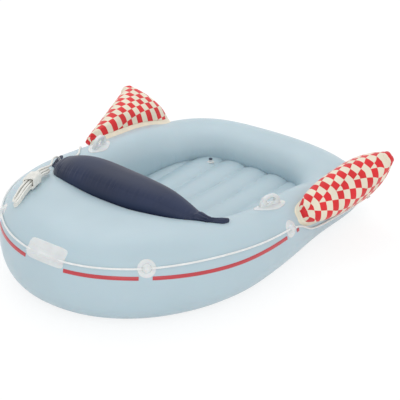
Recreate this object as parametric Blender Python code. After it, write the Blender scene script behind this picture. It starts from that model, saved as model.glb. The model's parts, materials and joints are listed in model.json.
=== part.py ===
"""Inflatable boat-shaped pool float with a padded bolster, two chequered tail fins and a grab line.

Metres, +Z up. The bow points to -Y and the port side is +X. The origin lies under the middle of the float,
on the ground it rests on.
"""
import math

import bmesh
import bpy
from mathutils import Vector
from mathutils.bvhtree import BVHTree

# Hull: an inflated ring, wide and high at the bow, that turns into a low tube at the stern
HULL_LENGTH = 1.70
HULL_WIDTH = 1.15
COCKPIT_LENGTH = 0.95
COCKPIT_WIDTH = 0.67
COCKPIT_AFT_SHARE = 0.3441
COCKPIT_AFT_Y = HULL_LENGTH * COCKPIT_AFT_SHARE
BOW_HEIGHT = 0.345
SIDE_HEIGHT = 0.25
STERN_HEIGHT = 0.19
GROUND_FLAT = 0.006
VINYL_THICKNESS = 0.0012

# Plan outlines: places across and along, as shares of the width and length, bow first and stern last
HULL_PLAN_SHARES = ((0.0, -0.522), (0.31, -0.455), (0.538, -0.205), (0.470, 0.150),
                    (0.481, 0.335), (0.460, 0.382), (0.341, 0.481), (0.0, 0.508))
COCKPIT_PLAN_SHARES = ((0.0, -1.02), (0.30, -1.01), (0.52, -0.86), (0.505, -0.46),
                       (0.50, -0.24), (0.45, -0.10), (0.33, 0.005), (0.0, 0.005))
PLAN_SPANS = 14
STEPS_PER_SPAN = 5
SECTION_STEPS = 20
# Crest place and squareness of the section at even steps from the bow to the stern
CREST_STEP_SHARES = (0.60, 0.56, 0.50, 0.50, 0.50)
SQUARE_STEP_SHARES = (0.74, 0.80, 0.96, 1.0, 1.0)
LOWER_ROUND = 0.160

# Gaps between welded or resting pieces
SEAT_GAP = 0.0005
LIE_GAP = 0.0009
FIT_GAP = 0.0004
UNDERLAP = 0.004

# Bottom sheet and inflated floor
BOTTOM_SHEET_THICKNESS = 0.0012
BOTTOM_SHEET_LIFT = 0.0004
FLOOR_THICKNESS = 0.075
FLOOR_CHANNEL_PITCH = 0.118
FLOOR_CHANNEL_DEPTH = 0.016
FLOOR_COLUMNS = 36
FLOOR_COLUMNS_PER_CHANNEL = 6
FLOOR_ROWS = 8
FLOOR_EDGE_STEP = 0.0015

# Bolster across the front of the cockpit
BOLSTER_FORE_SHARE = 0.9684
BOLSTER_Y = COCKPIT_AFT_Y - COCKPIT_LENGTH * BOLSTER_FORE_SHARE
BOLSTER_DROP = 0.020
BOLSTER_Z = BOW_HEIGHT - BOLSTER_DROP
BOLSTER_LENGTH = 0.80
BOLSTER_X = -0.020
BOLSTER_DEPTH = 0.215
BOLSTER_HEIGHT = 0.170
BOLSTER_SWEEP = 0.030
BOLSTER_TAIL_LENGTH = 0.055
# How far aft the starboard and the port tail run, as shares of their reach sideways
BOLSTER_TAIL_AFT_SHARES = (1.7, 0.85)
BOLSTER_REST_SHARE = 0.45
BOLSTER_TAIL_DIAMETER = 0.034
BOLSTER_SECTIONS = 22
BOLSTER_SIDES = 18
BOLSTER_TAIL_FLAT_SHARE = 0.6
# Fullness at places from the starboard end to the port end
BOLSTER_FULLNESS_SHARES = ((0.0, 0.20), (0.05, 0.52), (0.12, 0.80), (0.22, 0.95), (0.36, 1.0), (0.50, 0.95),
                           (0.62, 0.87), (0.75, 0.73), (0.87, 0.50), (0.95, 0.30), (1.0, 0.18))

# Weld flange along the bolster's front foot
FLANGE_START_SHARE = -0.35
FLANGE_END_SHARE = 0.62
FLANGE_SHOW = 0.007
FLANGE_CLEARANCE = 0.0022
FLANGE_THICKNESS = 0.0009
FLANGE_STEPS = 12

# Tail fins
FIN_FRONT_T = 2.77
FIN_PORT_REAR_T = 4.72
FIN_STARBOARD_REAR_T = 4.52
FIN_FOOT_SHARE = 0.64
FIN_PORT_LEAN_DEGREES = 43.0
FIN_STARBOARD_LEAN_DEGREES = 51.0
FIN_PORT_HEIGHT = 0.244
FIN_STARBOARD_HEIGHT = 0.220
FIN_PORT_PEAK_SHARE = 0.86
FIN_STARBOARD_PEAK_SHARE = 0.785
FIN_FOOT_WIDTH = 0.125
FIN_FRONT_WIDTH_SHARE = 0.86
FIN_FOOT_ROUND_SHARE = 0.62
FIN_BAND_HEIGHT = 0.022
FIN_NOSE_HEIGHT = 0.060
FIN_TIP_LENGTH = 0.052
FIN_TIP_WIDTH = 0.058
FIN_SWELL_WIDTH = 0.172
FIN_LEVELS = 9
FIN_SIDES = 24

# Grab line and its eyelets
LINE_DIAMETER = 0.008
# Heights of the line on the hull's side: share of the way aft, share of the half height
LINE_HEIGHT_SHARES = ((0.0, 0.50), (0.14, 0.52), (0.264, 0.61), (0.345, 0.54), (0.377, 0.48), (0.395, 0.36),
                      (0.42, 0.03), (0.47, -0.17), (0.56, -0.22), (0.66, -0.08), (0.84, 0.30), (1.0, 0.30))
LINE_STEEP_SHARE = 0.08
TUNNEL_CLEARANCE = 0.0005
TUNNEL_WALL = 0.0015
EYELET_DIAMETER = 0.072
EYELET_THICKNESS = 0.0020
EYELET_BOSS_DIAMETER = 0.038
EYELET_PLACES = (("eyelet_bow", 1.11), ("eyelet_quarter", 2.62), ("eyelet_stern", 5.90))
EYELET_SIDES = 16
NOSE_PATCH_LENGTH = 0.185
NOSE_PATCH_WIDTH = 0.088
NOSE_PATCH_RISE = 0.014
NOSE_PATCH_THICKNESS = 0.0035
NOSE_PATCH_SIDES = 24

# Red side stripe, a welded tape
STRIPE_WIDTH = 0.012
STRIPE_THICKNESS = 0.0008
STRIPE_HEIGHT_SHARE = 0.325
STRIPE_END_GAP = 0.003
STRIPE_AFT_T = 2.73

# Rowlocks on the inner top edge of the side tubes
ROWLOCK_T = 2.653
ROWLOCK_TURN_DEGREES = 14.0
ROWLOCK_LENGTH = 0.172
ROWLOCK_WIDTH = 0.076
ROWLOCK_THICKNESS = 0.004
ROWLOCK_LUG_LENGTH = 0.112
ROWLOCK_LUG_HEIGHT = 0.056
ROWLOCK_LUG_DEPTH = 0.020
ROWLOCK_HOLE_LENGTH = 0.046
ROWLOCK_HOLE_WIDTH = 0.026
ROWLOCK_HOLE_HEIGHT = 0.028
ROWLOCK_LUG_ROUND_SHARE = 0.22
ROWLOCK_SIDES = 18

# Inflation valves: flange, stem and plug
VALVE_FLANGE_DIAMETER = 0.034
VALVE_FLANGE_THICKNESS = 0.0016
VALVE_STEM_DIAMETER = 0.016
VALVE_STEM_HEIGHT = 0.012
VALVE_BORE_DIAMETER = 0.009
VALVE_BORE_DEPTH = 0.010
VALVE_DRAFT = 0.0003
PLUG_HEAD_DIAMETER = 0.018
PLUG_HEAD_HEIGHT = 0.0035
PLUG_PIN_LENGTH = 0.008
VALVE_SIDES = 12
HULL_VALVE_T = 4.70
HULL_VALVE_SHARE = 0.25
BOLSTER_VALVE_SHARE = 0.45
FLOOR_VALVE_SIDE_SHARE = 0.306
FLOOR_VALVE_INSET = 0.065
FIN_VALVE_SHARE = 0.30

# Tow line made up in a hank on the starboard bow deck
TOW_DIAMETER = 0.007
# Ends of the hank: shares of the hull's width and length
HANK_FORE_SHARES = (-0.2443, -0.4059)
HANK_AFT_SHARES = (-0.3104, -0.2382)
HANK_WIDTH = 0.037
HANK_FOLD_DIAMETER = 0.021
HANK_LOOPS = 4
HANK_LOOP_POINTS = 24
HANK_STEP = 0.0096
HANK_WAIST_SHARE = 0.84
HANK_START_SHARE = 0.125
WRAP_TURNS = 8.5
WRAP_TURN_POINTS = 14
WRAP_START_DEGREES = 198.0
WRAP_PITCH = 0.0077
WRAP_GAP = 0.0008
WRAP_SQUARE_SHARE = 0.36
# Tow line's lead: places across and along the deck from the hank to the quarter eyelet
LEAD_ROUTE = ((-0.392, -0.335), (-0.410, -0.275), (-0.418, -0.205), (-0.440, -0.130), (-0.490, -0.060))
LEAD_POINTS = 42
LEAD_LIE_GAP = 0.0030
TOW_LIE_GAP = 0.0018

# Finishes: base colour, roughness, metallic
FINISHES = {
    "pale_blue_vinyl": ((0.50, 0.66, 0.76), 0.38, 0.0),
    "floor_vinyl": ((0.50, 0.66, 0.76), 0.42, 0.0),
    "navy_vinyl": ((0.035, 0.055, 0.110), 0.45, 0.0),
    "check_vinyl": ((0.72, 0.12, 0.11), 0.42, 0.0),
    "cream_vinyl": ((0.84, 0.80, 0.68), 0.42, 0.0),
    "red_tape": ((0.62, 0.06, 0.07), 0.40, 0.0),
    "clear_white_vinyl": ((0.86, 0.85, 0.84), 0.35, 0.0),
    "white_cord": ((0.90, 0.90, 0.88), 0.75, 0.0),
    "cream_rope": ((0.85, 0.80, 0.70), 0.85, 0.0),
    "valve_plastic": ((0.80, 0.84, 0.86), 0.30, 0.0),
}


def clear_scene():
    """Removes every object and mesh that the file holds."""
    for thing in list(bpy.data.objects):
        bpy.data.objects.remove(thing, do_unlink=True)
    for mesh in list(bpy.data.meshes):
        bpy.data.meshes.remove(mesh)


def finish_material(name):
    """Returns the named finish as a Principled material."""
    known = bpy.data.materials.get(name)
    if known:
        return known
    colour, roughness, metallic = FINISHES[name]
    material = bpy.data.materials.new(name)
    material.use_nodes = True
    shader = material.node_tree.nodes["Principled BSDF"]
    shader.inputs["Base Color"].default_value = (*colour, 1.0)
    shader.inputs["Roughness"].default_value = roughness
    shader.inputs["Metallic"].default_value = metallic
    return material


def add_object(name, bm, finish, origin=None):
    """Turns a bmesh into a named, smooth-shaded object; its origin is moved to a given point."""
    bmesh.ops.recalc_face_normals(bm, faces=bm.faces)
    if origin is not None:
        bmesh.ops.translate(bm, vec=-origin, verts=bm.verts)
    mesh = bpy.data.meshes.new(name)
    bm.to_mesh(mesh)
    bm.free()
    mesh.shade_smooth()
    mesh.set_sharp_from_angle(angle=math.radians(40.0))
    thing = bpy.data.objects.new(name, mesh)
    bpy.context.scene.collection.objects.link(thing)
    thing.data.materials.append(finish_material(finish))
    if origin is not None:
        thing.location = origin
    return thing


def mirrored_controls(shares, width, length, y_offset):
    """Control points of a closed outline that is alike on both sides, bow to stern and back."""
    port = [Vector((x * width, y * length + y_offset, 0.0)) for x, y in shares]
    starboard = [Vector((-p.x, p.y, 0.0)) for p in reversed(port[1:-1])]
    return port + starboard


def closed_spline(controls, t):
    """Point of a closed uniform cubic B-spline at t, which counts spans from the bow."""
    count = len(controls)
    span = math.floor(t)
    s = t - span
    blend = ((1 - s) ** 3 / 6, (3 * s ** 3 - 6 * s ** 2 + 4) / 6,
             (-3 * s ** 3 + 3 * s ** 2 + 3 * s + 1) / 6, s ** 3 / 6)
    point = Vector((0.0, 0.0, 0.0))
    for k in range(4):
        point += blend[k] * controls[(span + k - 1) % count]
    return point


def stepped(values, share):
    """Smooth value between even steps, with share from 0 to 1."""
    place = min(max(share, 0.0), 1.0) * (len(values) - 1)
    low = min(int(place), len(values) - 2)
    s = place - low
    s = s * s * (3 - 2 * s)
    return values[low] * (1 - s) + values[low + 1] * s


HULL_CONTROLS = mirrored_controls(HULL_PLAN_SHARES, HULL_WIDTH, HULL_LENGTH, 0.0)
COCKPIT_CONTROLS = mirrored_controls(COCKPIT_PLAN_SHARES, COCKPIT_WIDTH, COCKPIT_LENGTH, COCKPIT_AFT_Y)


def aft_share(t):
    """Share of the way from the bow to the stern, alike on both sides."""
    t = t % PLAN_SPANS
    return min(t, PLAN_SPANS - t) / (PLAN_SPANS / 2)


def tube_height(t):
    """Full height of the tube at t."""
    fall_to_side = (SIDE_HEIGHT - BOW_HEIGHT) * side_share(t)
    return BOW_HEIGHT + fall_to_side + (STERN_HEIGHT - SIDE_HEIGHT) * stern_share(t)


def side_share(t):
    """How far the height has come down from the bow's to the side's."""
    s = min(max((aft_share(t) - 0.10) / 0.36, 0.0), 1.0)
    return s * s * (3 - 2 * s)


def stern_share(t):
    """How far the height has come down from the side's to the stern's."""
    s = min(max((aft_share(t) - 0.42) / 0.24, 0.0), 1.0)
    return s * s * (3 - 2 * s)


def hull_section(t):
    """Inner foot, outward direction, outer and inner half widths, and half height at t."""
    outer = closed_spline(HULL_CONTROLS, t)
    inner = closed_spline(COCKPIT_CONTROLS, t)
    across = outer - inner
    width = across.length
    crest = stepped(CREST_STEP_SHARES, aft_share(t))
    half_height = (tube_height(t) + GROUND_FLAT) / 2
    return inner, across.normalized(), width * crest, width * (1 - crest), half_height


def hull_point(t, angle):
    """Point of the hull's skin; the angle runs from the outer side over the top to the inner side."""
    inner, out, half_out, half_in, half_height = hull_section(t)
    power = stepped(SQUARE_STEP_SHARES, aft_share(t))
    reach = signed_power(math.cos(angle), power)
    rise = signed_power(math.sin(angle), power)
    if reach < 0:
        place = half_in * (1 + reach)
    elif rise < 0:
        low_half = min(half_out, LOWER_ROUND)
        place = half_in + half_out - low_half * (1 - reach)
    else:
        place = half_in + half_out * reach
    point = inner + out * place
    point.z = max(half_height - GROUND_FLAT + half_height * rise, 0.0)
    return point


def signed_power(value, power):
    """Value raised to a power, with its sign kept."""
    return math.copysign(abs(value) ** power, value)


def hull_frame(t, angle):
    """Point, outward normal and tangent on the hull's skin."""
    step = 0.01
    here = hull_point(t, angle)
    along = (hull_point(t + step, angle) - hull_point(t - step, angle)).normalized()
    up = (hull_point(t, angle + step) - hull_point(t, angle - step)).normalized()
    normal = along.cross(up).normalized()
    inner, out, half_out, half_in, half_height = hull_section(t)
    middle = inner + out * half_in
    middle.z = half_height
    if normal.dot(here - middle) < 0:
        normal = -normal
    return here, normal, along


def side_angle(t, height_share):
    """Angle on the outer side at a share of the half height."""
    power = stepped(SQUARE_STEP_SHARES, aft_share(t))
    return math.asin(signed_power(height_share, 1 / power))


def outer_frame(t, height_share):
    """Point, outward normal and tangent on the hull's outer side, at a share of the half height."""
    return hull_frame(t, side_angle(t, height_share))


def ring_loft(bm, rings, closed=False):
    """Joins rings of equal counts with quads; a closed loft also joins the last ring to the first."""
    loops = [[bm.verts.new(p) for p in ring] for ring in rings]
    pairs = list(zip(loops, loops[1:]))
    if closed:
        pairs.append((loops[-1], loops[0]))
    for low, high in pairs:
        count = len(low)
        for i in range(count):
            bm.faces.new((low[i], low[(i + 1) % count], high[(i + 1) % count], high[i]))
    return loops


def swollen_cutter(name, bm):
    """Hidden copy of a solid, grown by the seat gap, that trims what rests on the solid."""
    swollen = bm.copy()
    swollen.normal_update()
    places = [vert.co + vert.normal * SEAT_GAP for vert in swollen.verts]
    for vert, place in zip(swollen.verts, places):
        vert.co = place
    cutter = add_object(name, swollen, "pale_blue_vinyl")
    cutter.hide_render = True
    cutter.display_type = "WIRE"
    return cutter


def carrier(name, bm):
    """Search tree and trimming solid for the pieces that a soft shape carries."""
    bmesh.ops.recalc_face_normals(bm, faces=bm.faces)
    bmesh.ops.triangulate(bm, faces=bm.faces)
    return BVHTree.FromBMesh(bm), swollen_cutter(name + "_cutter", bm)


def combine(thing, other, operation):
    """Adds a Boolean to an object."""
    modifier = thing.modifiers.new(operation.lower(), "BOOLEAN")
    modifier.operation = operation
    modifier.object = other
    modifier.solver = "EXACT"


def build_hull():
    """The inflated ring with its bow deck."""
    bm = bmesh.new()
    rings = []
    for i in range(PLAN_SPANS * STEPS_PER_SPAN):
        t = i / STEPS_PER_SPAN
        rings.append([hull_point(t, math.tau * (k + 0.5) / SECTION_STEPS) for k in range(SECTION_STEPS)])
    ring_loft(bm, rings, closed=True)
    hull = carrier("hull", bm)
    ring = add_object("hull_ring", bm, "pale_blue_vinyl")
    skin = ring.modifiers.new("skin", "SOLIDIFY")
    skin.thickness = VINYL_THICKNESS
    skin.offset = -1
    combine(ring, air_hole(*hull_frame(HULL_VALVE_T, math.pi - math.asin(HULL_VALVE_SHARE))[:2]), "DIFFERENCE")
    return hull


def air_hole(place, normal):
    """Hidden cylinder that opens the skin to the air chamber under a valve."""
    bm = bmesh.new()
    reach = 4 * UNDERLAP
    bmesh.ops.create_cone(bm, cap_ends=True, segments=VALVE_SIDES, radius1=VALVE_BORE_DIAMETER / 2,
                          radius2=VALVE_BORE_DIAMETER / 2, depth=2 * reach)
    bmesh.ops.rotate(bm, verts=bm.verts, cent=(0.0, 0.0, 0.0),
                     matrix=normal.to_track_quat("Z", "Y").to_matrix())
    bmesh.ops.translate(bm, vec=place, verts=bm.verts)
    cutter = add_object("air_hole_cutter", bm, "pale_blue_vinyl")
    cutter.hide_render = True
    cutter.display_type = "WIRE"
    return cutter


def inner_outline(height, count, oversize):
    """Outline inside the ring at a height, pushed into the ring's skin by an oversize."""
    points = []
    for i in range(count):
        t = PLAN_SPANS * i / count
        inner, out, half_out, half_in, half_height = hull_section(t)
        power = stepped(SQUARE_STEP_SHARES, aft_share(t))
        rise = abs(height + GROUND_FLAT - half_height) / half_height
        reach = half_in * (1 - rise ** (2 / power)) ** (power / 2)
        place = inner + out * (half_in - reach + oversize)
        points.append(Vector((place.x, place.y, height)))
    return points


def build_bottom_sheet():
    """The flat sheet that closes the ring's underside."""
    bm = bmesh.new()
    top_height = BOTTOM_SHEET_LIFT + BOTTOM_SHEET_THICKNESS
    outline = inner_outline(top_height, PLAN_SPANS * STEPS_PER_SPAN, -FIT_GAP)
    face = bm.faces.new([bm.verts.new(p) for p in outline])
    grown = bmesh.ops.extrude_face_region(bm, geom=[face])
    low = [g for g in grown["geom"] if isinstance(g, bmesh.types.BMVert)]
    bmesh.ops.translate(bm, vec=(0.0, 0.0, -BOTTOM_SHEET_THICKNESS), verts=low)
    bmesh.ops.triangulate(bm, faces=[f for f in bm.faces if len(f.verts) > 4])
    add_object("bottom_sheet", bm, "floor_vinyl")


def half_width_at(outline, y):
    """Half width of an outline at a place along it."""
    port = sorted((p for p in outline if p.x >= 0), key=lambda p: p.y)
    for a, b in zip(port, port[1:]):
        if a.y <= y <= b.y and b.y > a.y:
            return a.x + (b.x - a.x) * (y - a.y) / (b.y - a.y)
    return 0.0


def rounded_edge(distance, radius):
    """Share of the full height of a rounded edge, at a distance in from it."""
    return math.sqrt(max(1 - (1 - min(distance / radius, 1.0)) ** 2, 0.0))


def floor_rows():
    """Places of the floor's grid: rows across, with the channels running aft."""
    outline = inner_outline(FLOOR_THICKNESS / 2, PLAN_SPANS * 12, UNDERLAP)
    fore = min(p.y for p in outline)
    aft = max(p.y for p in outline)
    base = BOTTOM_SHEET_LIFT + BOTTOM_SHEET_THICKNESS + FIT_GAP
    edge = FLOOR_THICKNESS / 2
    half_count = FLOOR_COLUMNS // 2
    column_step = FLOOR_CHANNEL_PITCH / FLOOR_COLUMNS_PER_CHANNEL
    rows = []
    for j in range(FLOOR_ROWS + 1):
        y = fore + (aft - fore) * (1 - math.cos(math.pi * j / FLOOR_ROWS)) / 2
        inside = min(max(y, fore + 2 * UNDERLAP), aft - 2 * UNDERLAP)
        half = half_width_at(outline, inside)
        row = []
        for i in range(-half_count, half_count + 1):
            x = min(abs(i) * column_step, half - (half_count - abs(i)) * FLOOR_EDGE_STEP)
            phase = math.pi * (x / FLOOR_CHANNEL_PITCH + 0.5)
            crown = FLOOR_THICKNESS - FLOOR_CHANNEL_DEPTH * (1 - abs(math.sin(phase)) ** 0.6)
            fall = min(rounded_edge(half - x, edge), rounded_edge(min(y - fore, aft - y), edge))
            top = base + (crown - base) * (0.5 + 0.5 * fall)
            row.append(Vector((math.copysign(x, i), y, top)))
        rows.append(row)
    return rows, base


def build_floor(hull_cutter):
    """The inflated floor with its lengthwise air channels."""
    bm = bmesh.new()
    rows, base = floor_rows()
    grid = [[bm.verts.new(p) for p in row] for row in rows]
    for a, b in zip(grid, grid[1:]):
        for i in range(len(a) - 1):
            bm.faces.new((a[i], a[i + 1], b[i + 1], b[i]))
    edge = rim(grid)
    low = [bm.verts.new((vert.co.x, vert.co.y, base)) for vert in edge]
    band_faces(bm, edge, low)
    bm.faces.new(low)
    bmesh.ops.triangulate(bm, faces=[f for f in bm.faces if len(f.verts) > 4])
    floor = carrier("floor", bm)
    combine(add_object("floor_mattress", bm, "floor_vinyl"), hull_cutter, "DIFFERENCE")
    return floor


def rim(grid):
    """Vertices round the edge of a grid, in order."""
    loop = list(grid[0])
    loop += [row[-1] for row in grid[1:]]
    loop += list(reversed(grid[-1][:-1]))
    loop += [row[0] for row in reversed(grid[1:-1])]
    return loop


def band_faces(bm, low, high):
    """Quads between two closed loops of equal counts."""
    count = len(low)
    for k in range(count):
        bm.faces.new((low[k], low[(k + 1) % count], high[(k + 1) % count], high[k]))


def fan_faces(bm, loop, pole):
    """Triangles from a closed loop to a pole."""
    count = len(loop)
    for k in range(count):
        bm.faces.new((loop[k], loop[(k + 1) % count], pole))


def bolster_section(share, hull_tree):
    """Centre, half depth and half height of the bolster at a place from -1, starboard, to 1, port."""
    half = BOLSTER_LENGTH / 2
    fullness = through_knots(BOLSTER_FULLNESS_SHARES, (share + 1) / 2) if abs(share) <= 1 else 0.0
    past = max(abs(share) - 1, 0.0) * half
    tail = BOLSTER_TAIL_DIAMETER / 2
    depth = max(BOLSTER_DEPTH / 2 * fullness, tail)
    height = max(BOLSTER_HEIGHT / 2 * fullness, tail * BOLSTER_TAIL_FLAT_SHARE)
    aft = BOLSTER_TAIL_AFT_SHARES[0 if share < 0 else 1]
    centre = Vector((BOLSTER_X + half * share, BOLSTER_Y + BOLSTER_SWEEP * share * share + past * aft, BOLSTER_Z))
    under = skin_height(hull_tree, centre)
    if under is not None:
        centre.z = max(BOLSTER_Z - BOLSTER_SWEEP * share * share, under + height * BOLSTER_REST_SHARE)
    return centre, depth, height


def build_bolster(hull):
    """The long cushion with pinched tails, laid on the deck's aft edge."""
    hull_tree, hull_cutter = hull
    bm = bmesh.new()
    tail_share = 1 + BOLSTER_TAIL_LENGTH / (BOLSTER_LENGTH / 2)
    middle_share = (1 + tail_share) / 2
    shares = [-math.cos(math.pi * i / BOLSTER_SECTIONS) for i in range(1, BOLSTER_SECTIONS)]
    shares = [-tail_share, -middle_share] + shares + [middle_share, tail_share]
    rings = []
    for share in shares:
        centre, depth, height = bolster_section(share, hull_tree)
        ring = []
        for k in range(BOLSTER_SIDES):
            angle = math.tau * (k + 0.5) / BOLSTER_SIDES
            ring.append(centre + Vector((0.0, depth * math.cos(angle), height * math.sin(angle))))
        rings.append(ring)
    loops = ring_loft(bm, rings)
    for loop in (loops[0], loops[-1]):
        bm.faces.new(loop)
    bmesh.ops.triangulate(bm, faces=[f for f in bm.faces if len(f.verts) > 4])
    bolster = carrier("bolster", bm)
    combine(add_object("bolster", bm, "navy_vinyl"), hull_cutter, "DIFFERENCE")
    return bolster


def bolster_front(share, hull_tree):
    """Place on the deck where the bolster's front comes down to the flange's top."""
    centre, depth, height = bolster_section(share, hull_tree)
    for k in range(BOLSTER_SIDES * 4):
        angle = math.pi / 2 + math.pi * k / (BOLSTER_SIDES * 4)
        point = centre + Vector((0.0, depth * math.cos(angle), height * math.sin(angle)))
        under = skin_height(hull_tree, point)
        if under is not None and point.z < under + FLANGE_THICKNESS + 2 * SEAT_GAP:
            return Vector((point.x, point.y, under))
    return Vector((centre.x, centre.y - depth, centre.z))


def build_bolster_flange(hull):
    """Pale weld strip that shows along the bolster's front foot."""
    hull_tree, hull_cutter = hull
    rings = []
    for i in range(FLANGE_STEPS + 1):
        share = FLANGE_START_SHARE + (FLANGE_END_SHARE - FLANGE_START_SHARE) * i / FLANGE_STEPS
        front = bolster_front(share, hull_tree)
        edges = []
        for y in (front.y - FLANGE_CLEARANCE - FLANGE_SHOW, front.y - FLANGE_CLEARANCE):
            edges.append(Vector((front.x, y, skin_height(hull_tree, Vector((front.x, y, 0.0))))))
        under = Vector((0.0, 0.0, -UNDERLAP))
        over = Vector((0.0, 0.0, SEAT_GAP + FLANGE_THICKNESS))
        rings.append((edges[0] + under, edges[1] + under, edges[1] + over, edges[0] + over))
    bm = bmesh.new()
    loops = ring_loft(bm, rings)
    for loop in (loops[0], loops[-1]):
        bm.faces.new(loop)
    combine(add_object("bolster_flange", bm, "clear_white_vinyl"), hull_cutter, "DIFFERENCE")


def skin_height(tree, place):
    """Height of a solid's top skin under or over a place, or None past its edge."""
    hit = tree.ray_cast(Vector((place.x, place.y, 4 * BOW_HEIGHT)), Vector((0.0, 0.0, -1.0)))
    return hit[0].z if hit[0] else None


def draped_pad(bm, tree, frame, outline, shares, thickness):
    """Closed pad that follows its carrier and reaches under its skin, ready to be trimmed.

    The frame holds the pad's middle and axes, the outline gives its edge, the shares place its rings from
    the edge inwards, and thickness gives its height at a share and an outline step.
    """
    middle, across, along, normal = frame

    def skin(x, y):
        start = middle + across * x + along * y + normal * (HULL_WIDTH / 4)
        return tree.ray_cast(start, -normal)[0]

    grids = []
    for side in (0, 1):
        rings = []
        for share in shares:
            ring = []
            for k, (x, y) in enumerate(outline):
                lift = SEAT_GAP + thickness(share, k) if side else -UNDERLAP
                ring.append(bm.verts.new(skin(x * share, y * share) + normal * lift))
            rings.append(ring)
        lift = SEAT_GAP + thickness(0.0, 0) if side else -UNDERLAP
        for a, b in zip(rings, rings[1:]):
            band_faces(bm, a, b)
        fan_faces(bm, rings[-1], bm.verts.new(skin(0.0, 0.0) + normal * lift))
        grids.append(rings)
    band_faces(bm, grids[0][0], grids[1][0])


def oval(half_x, half_y, sides, power=1.0):
    """Outline of an oval; a power under 1 squares it."""
    points = []
    for k in range(sides):
        angle = math.tau * k / sides
        points.append((half_x * signed_power(math.cos(angle), power), half_y * signed_power(math.sin(angle), power)))
    return points


def smooth_step(low, high, value):
    """0 below low, 1 above high, smooth between."""
    s = min(max((value - low) / (high - low), 0.0), 1.0)
    return s * s * (3 - 2 * s)


def through_knots(table, place):
    """Smooth value at a place in a table of places and values."""
    last = len(table) - 1
    k = 0
    while k < last - 1 and table[k + 1][0] < place:
        k += 1

    def slope(i):
        before, after = table[max(i - 1, 0)], table[min(i + 1, last)]
        return (after[1] - before[1]) / (after[0] - before[0]) if 0 < i < last else 0.0

    (x0, y0), (x1, y1) = table[k], table[k + 1]
    width = x1 - x0
    s = min(max((place - x0) / width, 0.0), 1.0)
    return ((1 + 2 * s) * (1 - s) ** 2 * y0 + s * (1 - s) ** 2 * width * slope(k)
            + s * s * (3 - 2 * s) * y1 + s * s * (s - 1) * width * slope(k + 1))


def line_share(t):
    """Height of the grab line on the hull's side, as a share of the half height."""
    return through_knots(LINE_HEIGHT_SHARES, aft_share(t))


def stripe_share(t):
    """Height of the stripe on the hull's side, as a share of the half height."""
    return STRIPE_HEIGHT_SHARE


def side_frame(t, height_share):
    """Frame on the hull's outer side: across runs up the side, along runs aft."""
    here, normal, along = outer_frame(t, height_share)
    across = along.cross(normal).normalized()
    if across.z < 0:
        across = -across
    return here, across, along, normal


def eyelet_ts():
    """Names and places of the eyelets round the hull."""
    places = []
    for name, t in EYELET_PLACES:
        places.append((name + "_port", t))
        places.append((name + "_starboard", PLAN_SPANS - t))
    return places


def tunnel_lift():
    """Height of the grab line over the hull's skin inside an eyelet."""
    return SEAT_GAP + TUNNEL_WALL + TUNNEL_CLEARANCE + LINE_DIAMETER / 2


def line_points(tree):
    """Centre line of the grab line: along the hull's side, lifted through the eyelets and the nose patch."""
    lie = LINE_DIAMETER / 2 + LIE_GAP
    held = [(outer_frame(t, line_share(t))[0], t, EYELET_BOSS_DIAMETER / 2) for name, t in eyelet_ts()]
    nose = (outer_frame(0.0, line_share(0.0))[0], 0.0, NOSE_PATCH_LENGTH / 2)
    stations = []
    for i in range(3 * PLAN_SPANS * STEPS_PER_SPAN):
        t = i / STEPS_PER_SPAN / 3
        if i % 3 and abs(line_share(t + 0.1) - line_share(t - 0.1)) < LINE_STEEP_SHARE:
            continue
        here = outer_frame(t, line_share(t))[0]
        if all((here - middle).length > 1.6 * reach for middle, place, reach in held):
            stations.append((t, tunnel_lift() if (here - nose[0]).length < 1.2 * nose[2] else lie))
    for middle, place, reach in held:
        stations += [(walk(place, reach, side, line_share), tunnel_lift()) for side in (-1, 1)]
    points = []
    for t, lift in sorted(stations):
        here, normal, along = outer_frame(t, line_share(t))
        points.append(tree.ray_cast(here + normal * BOW_HEIGHT, -normal)[0] + normal * lift)
    return points


def walk(t, distance, direction, share):
    """Place reached from t after a distance along a line at the given heights."""
    step = 0.005
    gone = 0.0
    here = outer_frame(t, share(t))[0]
    while gone < distance:
        t += step * direction
        there = outer_frame(t, share(t))[0]
        gone += (there - here).length
        here = there
    return t


def tube_curve(name, points, radius, finish, cyclic=False, resolution=2):
    """Round tube along points."""
    curve = bpy.data.curves.new(name, "CURVE")
    curve.dimensions = "3D"
    curve.bevel_depth = radius
    curve.bevel_resolution = resolution
    curve.use_fill_caps = not cyclic
    spline = curve.splines.new("POLY")
    spline.points.add(len(points) - 1)
    for knot, point in zip(spline.points, points):
        knot.co = (*point, 1.0)
    spline.use_cyclic_u = cyclic
    spline.use_smooth = True
    curve.materials.append(finish_material(finish))
    thing = bpy.data.objects.new(name, curve)
    bpy.context.scene.collection.objects.link(thing)
    return thing


def line_cutter(points):
    """Fatter copy of the grab line that cuts the tunnels."""
    radius = LINE_DIAMETER / 2 + TUNNEL_CLEARANCE
    guide = tube_curve("line_guide", points, radius, "white_cord", cyclic=True)
    graph = bpy.context.evaluated_depsgraph_get()
    mesh = bpy.data.meshes.new_from_object(guide.evaluated_get(graph))
    bpy.data.objects.remove(guide, do_unlink=True)
    cutter = bpy.data.objects.new("line_cutter", mesh)
    bpy.context.scene.collection.objects.link(cutter)
    cutter.hide_render = True
    cutter.display_type = "WIRE"
    return cutter


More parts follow.
